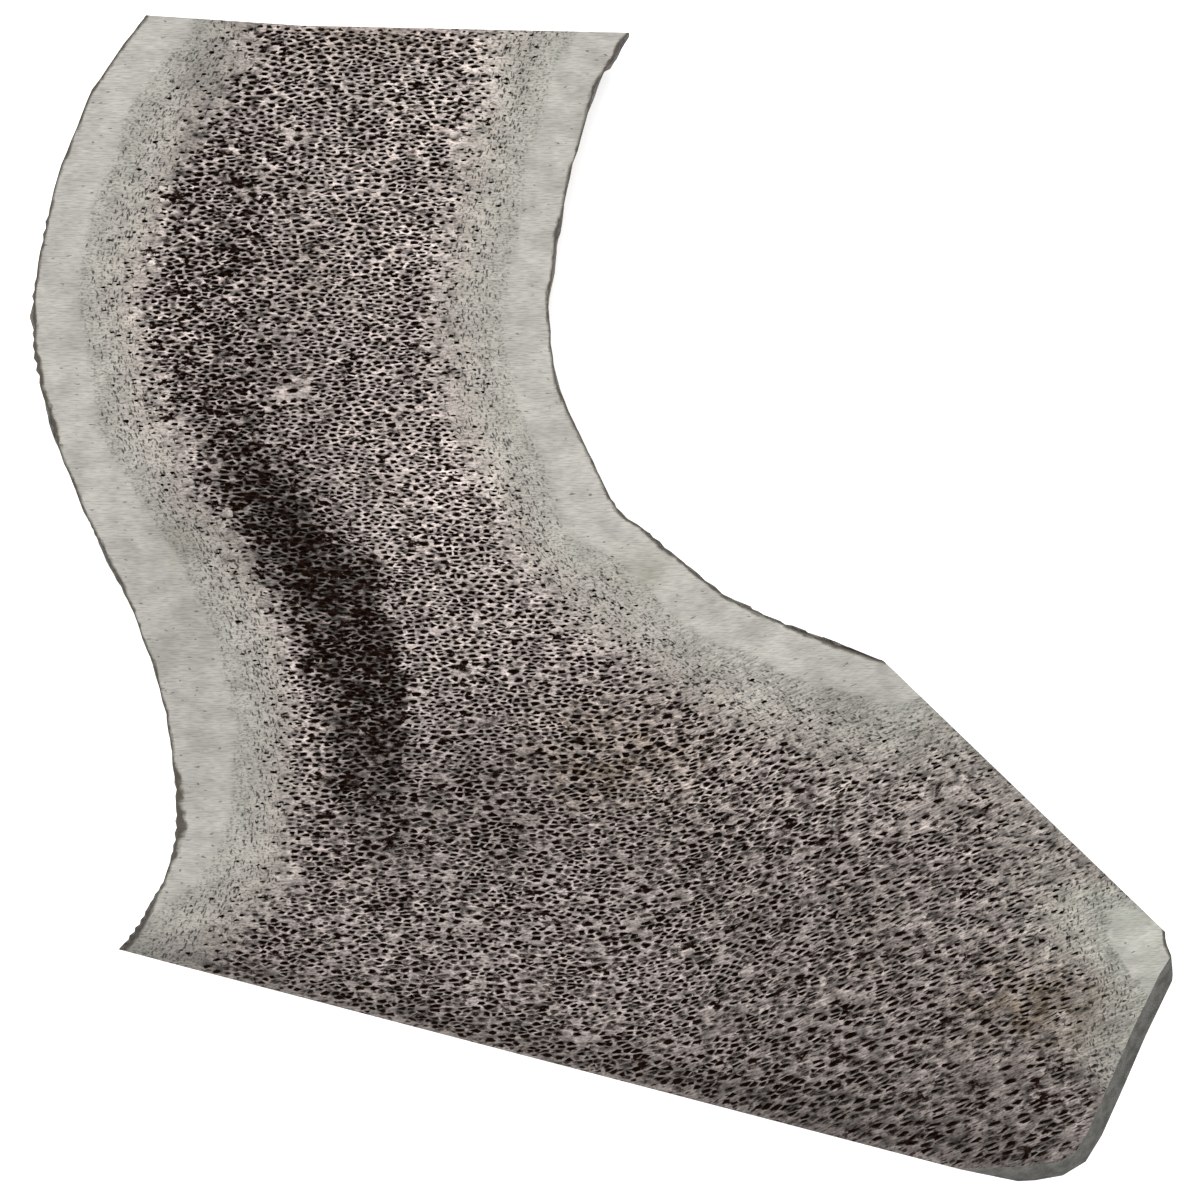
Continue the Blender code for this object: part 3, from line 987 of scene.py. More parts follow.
    def rims(
        self,
        cells: Cells,
        here: Ground,
        outline: Array,
        edge: KDTree,
        room: Array,
        chance: np.random.Generator,
    ) -> tuple[Array, Array]:
        """Where the rim of each pore turns, and which pores can't be kept clear of the outline.

        Args:
            cells: The cells that the pores lie in.
            here: The bone at each cell's point.
            outline: The surface's outline in its layout.
            edge: The outline as a search tree.
            room: Distance from each cell's point to the outline.
            chance: Source of random numbers.

        Returns:
            A place for each corner of the cells, and a flag for each cell.
        """
        crowding = sum(lumps.over(here.points) for lumps in self.crowds)
        least, most = self.openness
        openness = least + (most - least) * here.porous**4 + self.seam_openness * here.seam
        change = self.crowding * crowding + self.streak_openness * here.streaks
        change += self.coarse_openness * here.coarse + self.lower_openness * here.lower
        openness += here.porous * change
        ray = cells.corner - cells.middle[cells.owner]
        length = np.linalg.norm(ray * (1.0, self.stretch), axis=1)
        even = self.roundness * cells.average(length)[cells.owner] / length + 1.0 - self.roundness
        share = openness[cells.owner] * even * chance.uniform(*self.jitter, len(cells.owner))
        share = np.minimum(share, self.widest)
        beside = np.flatnonzero(room[cells.owner] < 2.0 * self.spacing)
        for _ in range(self.shrinks):
            rim = cells.middle[cells.owner[beside]] + ray[beside] * share[beside, None]
            crossing = ~inside(rim, outline) | (nearest(edge, rim) < self.margin)
            cut = np.zeros(len(cells.points), bool)
            cut[cells.owner[beside[crossing]]] = True
            share[cut[cells.owner]] *= self.shrink
        return cells.middle[cells.owner] + ray * share[:, None], cut

    def worn(self, cells: Cells, opens: Array, here: Ground, chance: np.random.Generator) -> Array:
        """How deep the bone lies at each junction between pores, where the walls have broken away."""
        base, by_porous, by_seam = self.worn_share
        likely = np.zeros(cells.junctions)
        likely[cells.junction] = (base + by_porous * here.porous + by_seam * here.seam)[cells.owner]
        np.minimum.at(likely, cells.junction, opens[cells.owner].astype(float))
        depth = chance.uniform(*self.worn_depth, cells.junctions)
        return depth * (chance.random(cells.junctions) < likely)

    def pores(
        self,
        cells: Cells,
        kept: Array,
        rim: Array,
        here: Ground,
        worn: Array,
        room: Array,
        chance: np.random.Generator,
    ) -> Pores:
        """The rims' depths and tones, and a deepest point for each pore.

        Args:
            cells: The cells that the pores lie in.
            kept: Which corners of the cells are rim points.
            rim: The rim point for each corner.
            here: The bone at each cell's point.
            worn: Depth at each junction.
            room: Distance from each cell's point to the outline.
            chance: Source of random numbers.

        Returns:
            The pores.
        """
        owner, junction = cells.owner[kept], cells.junction[kept]
        ids = np.unique(owner)
        seam, lower = here.seam[owner], here.lower[owner]
        strands = self.strands.over(self.level(rim[kept], self.bone.rise) / (self.strand_run, 1.0))
        luck = chance.normal(0.0, 1.0, cells.junctions)[junction]
        # Which side of its pore each rim point lies on, for the painted highlight below and the painted
        # shade above.
        side = np.sign(cells.middle[owner, 1] - rim[kept, 1])
        shade = (self.strand_shade[0] + self.strand_shade[1] * seam) * strands
        shade += (self.luck_shade[0] + self.luck_shade[1] * seam) * luck
        shade += (self.painted_rim_light_and_shade[0] + self.painted_rim_light_and_shade[1] * lower) * side
        sunk = worn[junction]
        solid = smoothstep(here.porous[owner], *self.strands_from)
        least, most = self.tone_range
        # Lower, broken-away walls are darkened as painted shade.
        tone = 1.0 + shade * solid - self.sunk_painted_shade * (sunk > 0.0)
        tone = np.clip(tone, least, most + self.seam_shine * seam)
        base, by_lower, by_solid = self.shallow_share
        share = base + by_lower * here.lower[ids] + by_solid * (1.0 - here.porous[ids])
        shallow = chance.random(len(ids)) < share
        dim, dark = chance.uniform(*self.shallow, len(ids)), chance.uniform(*self.deep, len(ids))
        depth = self.depth * chance.uniform(*self.deep, len(ids))
        depth = np.minimum(depth, self.deepest * room[ids])
        darkness = np.where(shallow, dim, dark)
        return Pores(owner, rim[kept], sunk, tone, cells.middle[ids], depth, darkness)


@dataclass
class Tones:
    """How light the bone's sawn surface is, as shares of the light that it sends back.

    A shade makes the bone lighter or darker by a share. A stain tints it brown, and an olive place
    green. A rind is where the bark's brown reaches in, by its strength in millimetres.
    """

    compact: float = 0.465
    marrow: float = 0.555
    seam: float = 0.168
    lower: float = 0.40
    lower_from: Band = (0.2, 0.9)
    patches: Lumps = Lumps(0.12, 5 * MM, 20.0)
    streakiness: float = 0.35
    shades: tuple[Spot, ...] = (
        Spot(28.0, -50.0, 26.0, 9.0, -0.29),
        Spot(32.0, -19.0, 15.0, 6.0, 0.18),
        Spot(45.0, -35.0, 5.0, 8.0, 0.16),
        Spot(26.0, -31.0, 8.0, 6.0, -0.16),
        Spot(26.0, -10.0, 5.0, 4.0, -0.22),
        Spot(40.0, -52.0, 6.0, 4.0, -0.20),
        Spot(-14.0, -18.0, 7.0, 9.0, -0.30),
        Spot(-40.5, 26.0, 5.0, 20.0, 0.26),
        Spot(-30.0, 28.0, 4.0, 16.0, -0.22),
        Spot(-20.0, 37.0, 6.0, 5.0, 0.22),
        Spot(-39.0, 51.0, 4.0, 5.0, -0.24),
        Spot(-43.0, -8.0, 6.0, 20.0, -0.15),
        Spot(-30.0, -17.0, 5.0, 7.0, -0.15),
        Spot(-39.0, -34.5, 6.0, 4.0, -0.08),
        Spot(-42.0, 8.0, 7.0, 5.0, -0.18),
        Spot(-30.0, 8.0, 5.0, 8.0, -0.30),
        Spot(-14.5, 13.0, 7.0, 5.0, 0.20),
        Spot(-14.0, 50.0, 5.0, 5.0, 0.30),
        Spot(13.0, -15.5, 8.0, 7.0, 0.38),
    )
    rinds: tuple[Spot, ...] = (
        Spot(-42.5, -21.5, 4.2, 4.2, 1.00),
        Spot(-56.0, 20.0, 4.0, 4.0, 0.45),
    )
    bottom: tuple[Place, ...] = ((0.048, -0.0580), (-0.047, -0.0354))
    bottom_reach: float = 2.8 * MM
    bottom_loss: float = 0.45
    stains: tuple[Spot, ...] = (
        Spot(43.4, -40.8, 6.8, 4.2, 1.00),
        Spot(1.0, -16.0, 9.0, 5.5, 0.75),
        Spot(4.0, 3.0, 3.0, 2.0, 0.40),
        Spot(-22.5, 56.0, 9.0, 2.2, 0.45),
        Spot(27.0, -35.0, 3.0, 5.0, 0.25),
        Spot(-30.0, 33.0, 4.0, 3.0, 0.22),
        Spot(-42.0, 6.0, 1.6, 3.5, 0.30),
    )
    stain_lumps: Lumps = Lumps(1.0, 1.8 * MM, 23.0)
    stain_sides: Band = (-0.7, 0.5)
    olive: tuple[Spot, ...] = (
        Spot(49.0, -30.0, 11.0, 11.0, 1.00),
        Spot(33.0, -17.0, 14.0, 6.0, 0.60),
        Spot(-15.0, 50.0, 16.0, 12.0, 0.35),
    )

    def at(self, bone: Bone, points: Array, porous: Array) -> Array:
        """The tone of the solid bone at each point."""
        tone = self.compact + (self.marrow - self.compact) * porous
        lower = bone.lower_share(points) * smoothstep(porous, *self.lower_from)
        tone += (self.lower - tone) * lower
        tone += (self.seam - tone) * bone.seam_share(points)
        below = bell(path_distance(points, self.bottom), self.bottom_reach)
        tone *= 1.0 - self.bottom_loss * below
        for shade in self.shades:
            tone *= 1.0 + shade.over(points)
        tone *= 1.0 - self.streakiness * bone.streaks(points)
        return tone * (1.0 + self.patches.over(points))

    def rind(self, points: Array) -> Array:
        """How far in the bark's brown reaches over the cut face at each point."""
        return sum(rind.over(points) for rind in self.rinds) * MM

    def stain(self, points: Array, stains: tuple[Spot, ...]) -> Array:
        """How strongly some stains colour the bone at each point."""
        found = np.zeros(len(points))
        for stain in stains:
            found = np.maximum(found, stain.over(points))
        return found * smoothstep(self.stain_lumps.over(points), *self.stain_sides)


@dataclass
class BakeLayout:
    """Lays every surface of the piece out on one flat map.

    The cut face takes most of it. The bark is spread out in the free corner above the tine, with its
    steep sides pushed outwards, and the sawn ends lie in a row along the top.
    """

    skin: Skin
    face_scale: float = 6.6
    bark_scale: float = 3.95
    end_scale: float = 4.6
    gap: float = 0.006
    bark_place: Place = (0.42, 0.345)
    end_height: float = 0.894
    bevel_place: Place = (0.80, 0.02)
    bevel_width: float = 0.19
    spread: float = 0.45

    def __post_init__(self) -> None:
        """Measures the piece and finds where each sawn end starts."""
        places = np.array([vertex.co for vertex in self.skin.mesh.verts])
        self.low = places.min(axis=0)[:2]
        self.starts = {}
        along = self.gap
        for number, sheet in enumerate(self.skin.sheets):
            if isinstance(sheet, SawnWall):
                self.starts[number] = along
                along += sheet.length[-1] * self.end_scale + self.gap

    def sawn(self, number: int, flat: Array) -> Array:
        """Places on the map for points of a sawn surface's layout."""
        if number in self.starts:
            return flat * self.end_scale + (self.starts[number], self.end_height)
        return (flat - self.low) * self.face_scale + self.gap

    def lay_skin(self) -> None:
        """Writes the places of the bark and the bevel."""
        rim = [vertex for vertex in self.skin.mesh.verts if self.skin.outlines_at(vertex) & 1]
        tree = search_tree(Vector((*vertex.co.xy, 0.0)) for vertex in rim)
        outward = [Vector(vertex.normal.xy).normalized() for vertex in rim]
        for face in self.skin.mesh.faces:
            for loop in face.loops:
                spot = loop.vert.co
                if is_bark(face):
                    index = tree.find(Vector((*spot.xy, 0.0)))[1]
                    flat = spot.xy + outward[index] * spot.z * self.spread
                    pad = self.skin.top * self.spread
                    at = (flat - Vector(self.low) + Vector((pad, pad))) * self.bark_scale
                    loop[self.skin.uv].uv = at + Vector(self.bark_place)
                else:
                    at = (spot.xy - Vector(self.low)) * self.face_scale
                    wrapped = Vector((at.x % self.bevel_width, at.y))
                    loop[self.skin.uv].uv = wrapped + Vector(self.bevel_place)


def anticlockwise(loop: list, flat: Array) -> tuple[list, Array]:
    """The outline turned so that its inside is on its left."""
    x, y = flat.T
    area = np.sum(x * np.roll(y, -1) - np.roll(x, -1) * y)
    return (loop, flat) if area > 0.0 else (loop[::-1], flat[::-1])


@dataclass
class SawnSurface:
    """Closes one open outline of the skin with bone and pores."""

    skin: Skin
    bone: Bone
    marrow: Marrow
    tones: Tones
    layout: BakeLayout
    number: int
    farthest: float = 16.0
    snap: float = 1e-5

    def build(self) -> int:
        """Adds the surface to the skin's mesh and says how many pores it has."""
        sheet = self.skin.sheets[self.number]
        loop = self.skin.outline(self.number)
        places = np.array([vertex.co for vertex in loop])
        loop, outline = anticlockwise(loop, sheet.flat(places))
        pores, solid = self.marrow.open(sheet, outline)
        flat = np.concatenate([outline, pores.rim, pores.middle, solid])
        level, plain = np.zeros(len(loop)), np.ones(len(loop))
        rest, even = np.zeros(len(solid)), np.ones(len(pores.middle) + len(solid))
        depth = np.concatenate([level, pores.sunk, pores.depth, rest])
        # The pit layer: 0 on the face, the share of the full depth on sunk walls, and each pore's
        # darkness at its deepest point. The material darkens the colour by it, partly as painted shade.
        pit = np.concatenate([level, pores.sunk / self.marrow.depth, pores.darkness, rest])
        tone = np.concatenate([plain, pores.tone, even])
        points = sheet.solid(flat, depth)
        values = self.values(points, pit, tone)
        corners, count = [Vector(point) for point in flat / MM], len(loop)
        made = delaunay_2d_cdt(corners, pores.edges(count), [list(range(count))], 0, self.snap)
        verts = self.vertices(made, loop, sheet, points, values)
        self.add_faces(made, verts, flat)
        return len(pores.middle)

    def values(self, points: Array, pit: Array, tone: Array) -> dict[Layer, Array]:
        """The numbers that the materials read at each point."""
        porous = self.bone.porosity(points)
        edge = (nearest(self.bone.rim.natural, points) - self.tones.rind(points)) / MM
        return {
            Layer.PIT: pit,
            Layer.TONE: tone * self.tones.at(self.bone, points, porous),
            Layer.MARROW: porous,
            Layer.EDGE: np.clip(edge, 0.0, self.farthest),
            Layer.STAIN: self.tones.stain(points, self.tones.stains),
            Layer.OLIVE: self.tones.stain(points, self.tones.olive),
            Layer.RISE: self.bone.rise(points[:, 0]) / MM,
        }

    def vertices(
        self,
        made: tuple,
        loop: list[bmesh.types.BMVert],
        sheet: Sheet,
        points: Array,
        values: dict[Layer, Array],
    ) -> list[bmesh.types.BMVert]:
        """The mesh's points for the triangles' corners. Those of the outline are there already."""
        verts = []
        for place, source in zip(made[0], made[3]):
            if not source:
                log.warning("outline %d crosses itself near %s", self.number, place)
                here = sheet.solid(np.array([place[:]]) * MM, np.zeros(1))[0]
                verts.append(self.skin.mesh.verts.new(here))
                continue
            index = source[0]
            vertex = loop[index] if index < len(loop) else self.skin.mesh.verts.new(points[index])
            for layer, found in values.items():
                self.skin.set(vertex, layer, found[index])
            verts.append(vertex)
        return verts

    def add_faces(self, made: tuple, verts: list[bmesh.types.BMVert], flat: Array) -> None:
        """Adds the triangles inside the outline, with their places on the bake map."""
        spots = self.layout.sawn(self.number, np.array([place[:] for place in made[0]]) * MM)
        for corners, source in zip(made[2], made[5]):
            if source:
                face = self.skin.mesh.faces.new([verts[corner] for corner in corners])
                face.material_index = Finish.SAWN.value
                for loop, corner in zip(face.loops, corners):
                    loop[self.skin.uv].uv = spots[corner]


class Effect(Enum):
    """The patterns that the materials share, each kept as a node group."""

    CLOUD = "cloud"
    SPECKLE = "speckle"


Groups = dict[Effect, bpy.types.NodeTree]


class Cloud(NamedTuple):
    """Soft lumps, or fibres: the width of one along each axis in millimetres, and its numbers."""

    width: Size
    detail: float
    low: float
    high: float


class Speckle(NamedTuple):
    """Scattered spots: the width of one's place in millimetres, its size, and how many there are."""

    width: Size
    size: float | bpy.types.NodeSocket
    share: float | bpy.types.NodeSocket


@dataclass
class Nodes:
    """Adds nodes to a shader tree."""

    tree: bpy.types.NodeTree
    groups: Groups = field(default_factory=dict)

    def fill(self, socket: bpy.types.NodeSocket, value) -> None:
        """Links a socket to another, or sets its own value."""
        if isinstance(value, bpy.types.NodeSocket):
            self.tree.links.new(value, socket)
        elif isinstance(value, tuple) and socket.type == "RGBA":
            socket.default_value = (*value, 1.0)
        else:
            socket.default_value = value

    def add(self, kind: str, inputs: dict | None = None, **settings) -> bpy.types.Node:
        """A new node with its settings made and its inputs linked or set."""
        node = self.tree.nodes.new(kind)
        for name, value in settings.items():
            setattr(node, name, value)
        for name, value in (inputs or {}).items():
            self.fill(node.inputs[name], value)
        return node

    def attribute(self, layer: Layer) -> bpy.types.NodeSocket:
        """The number that the mesh carries in a layer."""
        return self.add("ShaderNodeAttribute", attribute_name=layer.value).outputs["Fac"]

    def place(self) -> bpy.types.NodeSocket:
        """Where on the piece a point lies, in metres."""
        return self.add("ShaderNodeTexCoord").outputs["Object"]

    def along_grain(self) -> bpy.types.NodeSocket:
        """The place, lowered by the grain's rise, so that the grain runs level in it."""
        lower = self.math("MULTIPLY", self.attribute(Layer.RISE), -MM)
        moved = self.add("ShaderNodeVectorMath", operation="ADD")
        self.fill(moved.inputs[0], self.place())
        self.fill(moved.inputs[1], self.add("ShaderNodeCombineXYZ", {"Y": lower}).outputs["Vector"])
        return moved.outputs["Vector"]

    def along_rim(self) -> bpy.types.NodeSocket:
        """The depth in from the natural rim, then X and Y, in metres."""
        depth = self.math("MULTIPLY", self.attribute(Layer.EDGE), MM)
        place = self.add("ShaderNodeSeparateXYZ", {"Vector": self.place()}).outputs
        inputs = {"X": depth, "Y": place["X"], "Z": place["Y"]}
        return self.add("ShaderNodeCombineXYZ", inputs).outputs["Vector"]

    def math(self, operation: str, *values) -> bpy.types.NodeSocket:
        """The result of a math node."""
        node = self.add("ShaderNodeMath", operation=operation)
        for socket, value in zip(node.inputs, values):
            self.fill(socket, value)
        return node.outputs[0]

    def line(self, value: bpy.types.NodeSocket, slope: float, start) -> bpy.types.NodeSocket:
        """The value times the slope, added to the start."""
        return self.math("MULTIPLY_ADD", value, slope, start)

    def product(self, *values) -> bpy.types.NodeSocket:
        """All the values multiplied together."""
        result = values[0]
        for value in values[1:]:
            result = self.math("MULTIPLY", result, value)
        return result

    def less(self, share: float, mask: bpy.types.NodeSocket) -> bpy.types.NodeSocket:
        """1 where the mask is 0, and lower by a share where it is 1."""
        return self.line(mask, -share, 1.0)

    def ramp(self, value: bpy.types.NodeSocket, low, high) -> bpy.types.NodeSocket:
        """A smooth rise from 0 at low to 1 at high."""
        inputs = {"Value": value, "From Min": low, "From Max": high}
        made = self.add("ShaderNodeMapRange", inputs, interpolation_type="SMOOTHSTEP")
        return made.outputs["Result"]

    def blend(self, share, first, second, blend_type: str = "MIX") -> bpy.types.NodeSocket:
        """One colour mixed into another."""
        node = self.add("ShaderNodeMix", data_type="RGBA", blend_type=blend_type)
        colours = [socket for socket in node.inputs if socket.type == "RGBA"]
        for socket, value in zip((node.inputs[0], *colours), (share, first, second)):
            self.fill(socket, value)
        return next(socket for socket in node.outputs if socket.type == "RGBA")

    def bump(self, height, strength: float, distance: float) -> bpy.types.NodeSocket:
        """The surface's direction, tilted by a height that varies over it."""
        inputs = {"Height": height, "Strength": strength, "Distance": distance}
        return self.add("ShaderNodeBump", inputs).outputs["Normal"]

    def group(self, effect: Effect, width: Size, place, **numbers) -> bpy.types.NodeSocket:
        """The mask of a shared group, at a place or at the place on the piece."""
        per_metre = tuple(1.0 / (size * MM) for size in width)
        inputs = {"Place": place or self.place(), "Per Metre": per_metre, **numbers}
        made = self.add("ShaderNodeGroup", inputs, node_tree=self.groups[effect])
        return made.outputs["Mask"]

    def cloud(self, cloud: Cloud, place: bpy.types.NodeSocket | None = None) -> bpy.types.NodeSocket:
        """The mask of some lumps."""
        numbers = {"Detail": cloud.detail, "Low": cloud.low, "High": cloud.high}
        return self.group(Effect.CLOUD, cloud.width, place, **numbers)

    def speckle(self, spots: Speckle, place: bpy.types.NodeSocket | None = None) -> bpy.types.NodeSocket:
        """The mask of some spots."""
        return self.group(Effect.SPECKLE, spots.width, place, Size=spots.size, Share=spots.share)

    def finish(self, values: dict) -> None:
        """Fills the inputs of the material's shader."""
        shader = self.tree.nodes["Principled BSDF"]
        for name, value in values.items():
            self.fill(shader.inputs[name], value)


def new_material(name: str, groups: Groups) -> tuple[bpy.types.Material, Nodes]:
    """A plain material, and its nodes to add to."""
    made = bpy.data.materials.new(name)
    made.use_nodes = True
    return made, Nodes(made.node_tree, groups)


@dataclass
class Effects:
    """The shared node groups, made once, and placed in each material with its own values."""

    bend: float = 0.9

    def groups(self) -> Groups:
        """Makes the groups."""
        return {Effect.CLOUD: self.cloud(), Effect.SPECKLE: self.speckle()}

    def start(self, effect: Effect, *numbers: str) -> tuple[Nodes, bpy.types.Node, bpy.types.Node]:
        """An empty group with a place, a fineness and some numbers as inputs, and a mask as output.

        Args:
            effect: Which effect it holds.
            numbers: The names of its number inputs.

        Returns:
            The group's nodes, its input node and its output node.
        """
        tree = bpy.data.node_groups.new(effect.value, "ShaderNodeTree")
        for name in ("Place", "Per Metre"):
            tree.interface.new_socket(name=name, in_out="INPUT", socket_type="NodeSocketVector")
        for name in numbers:
            tree.interface.new_socket(name=name, in_out="INPUT", socket_type="NodeSocketFloat")
        tree.interface.new_socket(name="Mask", in_out="OUTPUT", socket_type="NodeSocketFloat")
        return Nodes(tree), tree.nodes.new("NodeGroupInput"), tree.nodes.new("NodeGroupOutput")

    def scaled(self, nodes: Nodes, given: bpy.types.Node) -> bpy.types.NodeSocket:
        """The place, multiplied by the number of lumps in a metre along each axis."""
        node = nodes.add("ShaderNodeVectorMath", operation="MULTIPLY")
        nodes.fill(node.inputs[0], given.outputs["Place"])
        nodes.fill(node.inputs[1], given.outputs["Per Metre"])
        return node.outputs["Vector"]

    def cloud(self) -> bpy.types.NodeTree:
        """Soft lumps, or fibres where the fineness differs between the axes."""
        nodes, given, result = self.start(Effect.CLOUD, "Detail", "Low", "High")
        inputs = {"Vector": self.scaled(nodes, given), "Scale": 1.0, "Detail": given.outputs["Detail"]}
        lumps = nodes.add("ShaderNodeTexNoise", inputs).outputs["Fac"]
        mask = nodes.ramp(lumps, given.outputs["Low"], given.outputs["High"])
        nodes.fill(result.inputs["Mask"], mask)
        return nodes.tree

    def speckle(self) -> bpy.types.NodeTree:
        """Scattered small spots of uneven shape. Share says how many of the places for one have it."""
        nodes, given, result = self.start(Effect.SPECKLE, "Size", "Share")
        place = self.scaled(nodes, given)
        bends = nodes.add("ShaderNodeTexNoise", {"Vector": place, "Scale": 1.4, "Detail": 0.0})
        moved = nodes.add("ShaderNodeVectorMath", operation="MULTIPLY_ADD")
        for socket, value in zip(moved.inputs, (bends.outputs["Color"], (self.bend,) * 3, place)):
            nodes.fill(socket, value)
        spots = nodes.add("ShaderNodeTexVoronoi", {"Vector": moved.outputs["Vector"], "Scale": 1.0})
        core = nodes.math("MULTIPLY", given.outputs["Size"], 0.5)
        soft = nodes.ramp(spots.outputs["Distance"], core, given.outputs["Size"])
        lot = nodes.add("ShaderNodeSeparateColor", {"Color": spots.outputs["Color"]}).outputs[0]
        drawn = nodes.math("LESS_THAN", lot, given.outputs["Share"])
        nodes.fill(result.inputs["Mask"], nodes.product(nodes.less(1.0, soft), drawn))
        return nodes.tree


@dataclass(frozen=True)
class BoneFinish:
    """Sawn bone: pale and faintly green outside, pinkish grey with brown-black pores inside.

    Ticks and nicks mark the solid bone, grain, streaks, dots and hollows the marrow, and layers and
    specks the band between the two. A loss is how much a pattern darkens the bone.
    """

    compact_tint: Colour = (1.03, 1.0, 0.90)
    marrow_tint: Colour = (1.15, 0.985, 0.91)
    band_tint: Colour = (0.955, 0.958, 0.938)
    olive_tint: Colour = (0.95, 1.0, 0.97)
    stain_tint: Colour = (0.53, 0.47, 0.35)
    # The pores' brown-black: the dried marrow's colour, deepened down each pore as painted shade.
    pit: Colour = (0.0150, 0.0070, 0.0045)
    rim: Colour = (0.058, 0.048, 0.033)
    pit_edge: Band = (0.015, 0.17)
    rim_width: Band = (0.02, 0.42)
    rim_waves: float = 0.14
    begins: Band = (0.003, 0.04)
    band_ends: Band = (0.55, 0.98)
    thickens: Band = (0.35, 0.95)
    tine_from: Band = (0.4, 4.0)
    lumps: Cloud = Cloud((3.0, 2.2, 3.0), 2.0, 0.35, 0.72)
    lumps_loss: float = 0.17
    ticks: Cloud = Cloud((1.2, 0.10, 0.5), 1.0, 0.44, 0.78)
    ticks_loss: float = 0.26
    small: Size = (0.80, 0.34, 0.5)
    small_size: Band = (0.30, 0.18)
    small_share: Band = (0.14, 0.44)
    nicks_loss: float = 0.60
    hollows_depth: float = 0.9
    grain: Cloud = Cloud((0.75, 0.17, 0.3), 2.0, 0.32, 0.66)
    grain_loss: Band = (0.14, 0.34)
    layers: Cloud = Cloud((0.45, 0.9, 0.9), 2.0, 0.40, 0.66)
    layers_loss: float = 0.16
    frays: Cloud = Cloud((0.34, 0.20, 0.25), 1.0, 0.30, 0.70)
    frayed: Band = (1.3, 0.4)
    dots_from: float = 0.55
    dots_loss: float = 0.50
    specks: Speckle = Speckle((0.30, 0.55, 0.55), 0.50, 0.70)
    specks_loss: float = 0.82
    streaks: Cloud = Cloud((1.8, 0.25, 0.5), 2.0, 0.42, 0.64)
    streaks_loss: float = 0.36

    def material(self, groups: Groups) -> bpy.types.Material:
        """The finish as a material."""
        made, nodes = new_material("sawn_bone", groups)
        marrow = nodes.attribute(Layer.MARROW)
        solid = nodes.less(1.0, marrow)
        begun = nodes.ramp(marrow, *self.begins)
        band = nodes.product(begun, nodes.less(1.0, nodes.ramp(marrow, *self.band_ends)))
        dense = nodes.ramp(marrow, *self.thickens)
        tine = nodes.ramp(nodes.attribute(Layer.RISE), *self.tine_from)
        fibres, rows = nodes.along_grain(), nodes.along_rim()
        lumps, ticks = nodes.cloud(self.lumps), nodes.cloud(self.ticks)
        sizes = (self.small_size, self.small_share)
        size, share = (nodes.line(dense, more, base) for base, more in sizes)
        small = nodes.speckle(Speckle(self.small, size, share), fibres)
        grain, frays = nodes.cloud(self.grain, fibres), nodes.cloud(self.frays, fibres)
        layers, streaks = nodes.cloud(self.layers, rows), nodes.cloud(self.streaks, fibres)
        dots = nodes.product(nodes.ramp(frays, self.dots_from, 1.0), begun)
        share = nodes.product(nodes.ramp(marrow, 0.0, 0.30), nodes.less(1.0, dense), self.specks.share)
        specks = nodes.speckle(self.specks._replace(share=share), rows)
        base, more = self.grain_loss
        light = nodes.product(
            nodes.attribute(Layer.TONE),
            nodes.less(self.lumps_loss, lumps),
            nodes.less(self.ticks_loss, nodes.product(ticks, solid)),
            nodes.less(self.nicks_loss, nodes.product(small, solid)),
            nodes.less(1.0, nodes.product(grain, nodes.line(dense, more, base))),
            nodes.less(self.layers_loss, nodes.product(layers, band)),
            nodes.less(self.streaks_loss, nodes.product(streaks, tine, begun)),
            nodes.less(self.dots_loss, dots),
            nodes.less(self.specks_loss, specks),
        )
        tint = nodes.blend(marrow, self.compact_tint, self.marrow_tint)
        tint = nodes.blend(band, tint, self.band_tint, "MULTIPLY")
        tint = nodes.blend(nodes.attribute(Layer.OLIVE), tint, self.olive_tint, "MULTIPLY")
        tint = nodes.blend(nodes.attribute(Layer.STAIN), tint, self.stain_tint, "MULTIPLY")
        colour = nodes.blend(1.0, tint, light, "MULTIPLY")
        # The pit layer darkens the colour down each pore and on sunk walls: partly the dried marrow in
        # them, partly painted shade. The small flat hollows are pores painted dark with no depth.
        pit = nodes.product(nodes.attribute(Layer.PIT), nodes.line(frays, *self.frayed))
        sunk = nodes.ramp(pit, *self.pit_edge)
        hollows = nodes.product(small, dense, self.hollows_depth)
        hollow = nodes.math("MAXIMUM", sunk, hollows)
        colour = nodes.blend(hollow, colour, self.pit)
        ragged = nodes.line(layers, -self.rim_waves, nodes.attribute(Layer.EDGE))
        surface = {
            "Base Color": nodes.blend(nodes.ramp(ragged, *self.rim_width), self.rim, colour),
            "Roughness": nodes.line(marrow, 0.26, nodes.line(lumps, 0.08, 0.55)),
            "Normal": nodes.bump(ticks, 0.35, 0.05 * MM),
            "Specular IOR Level": nodes.product(nodes.less(1.0, hollow), 0.3),
        }
        nodes.finish(surface)
        return made


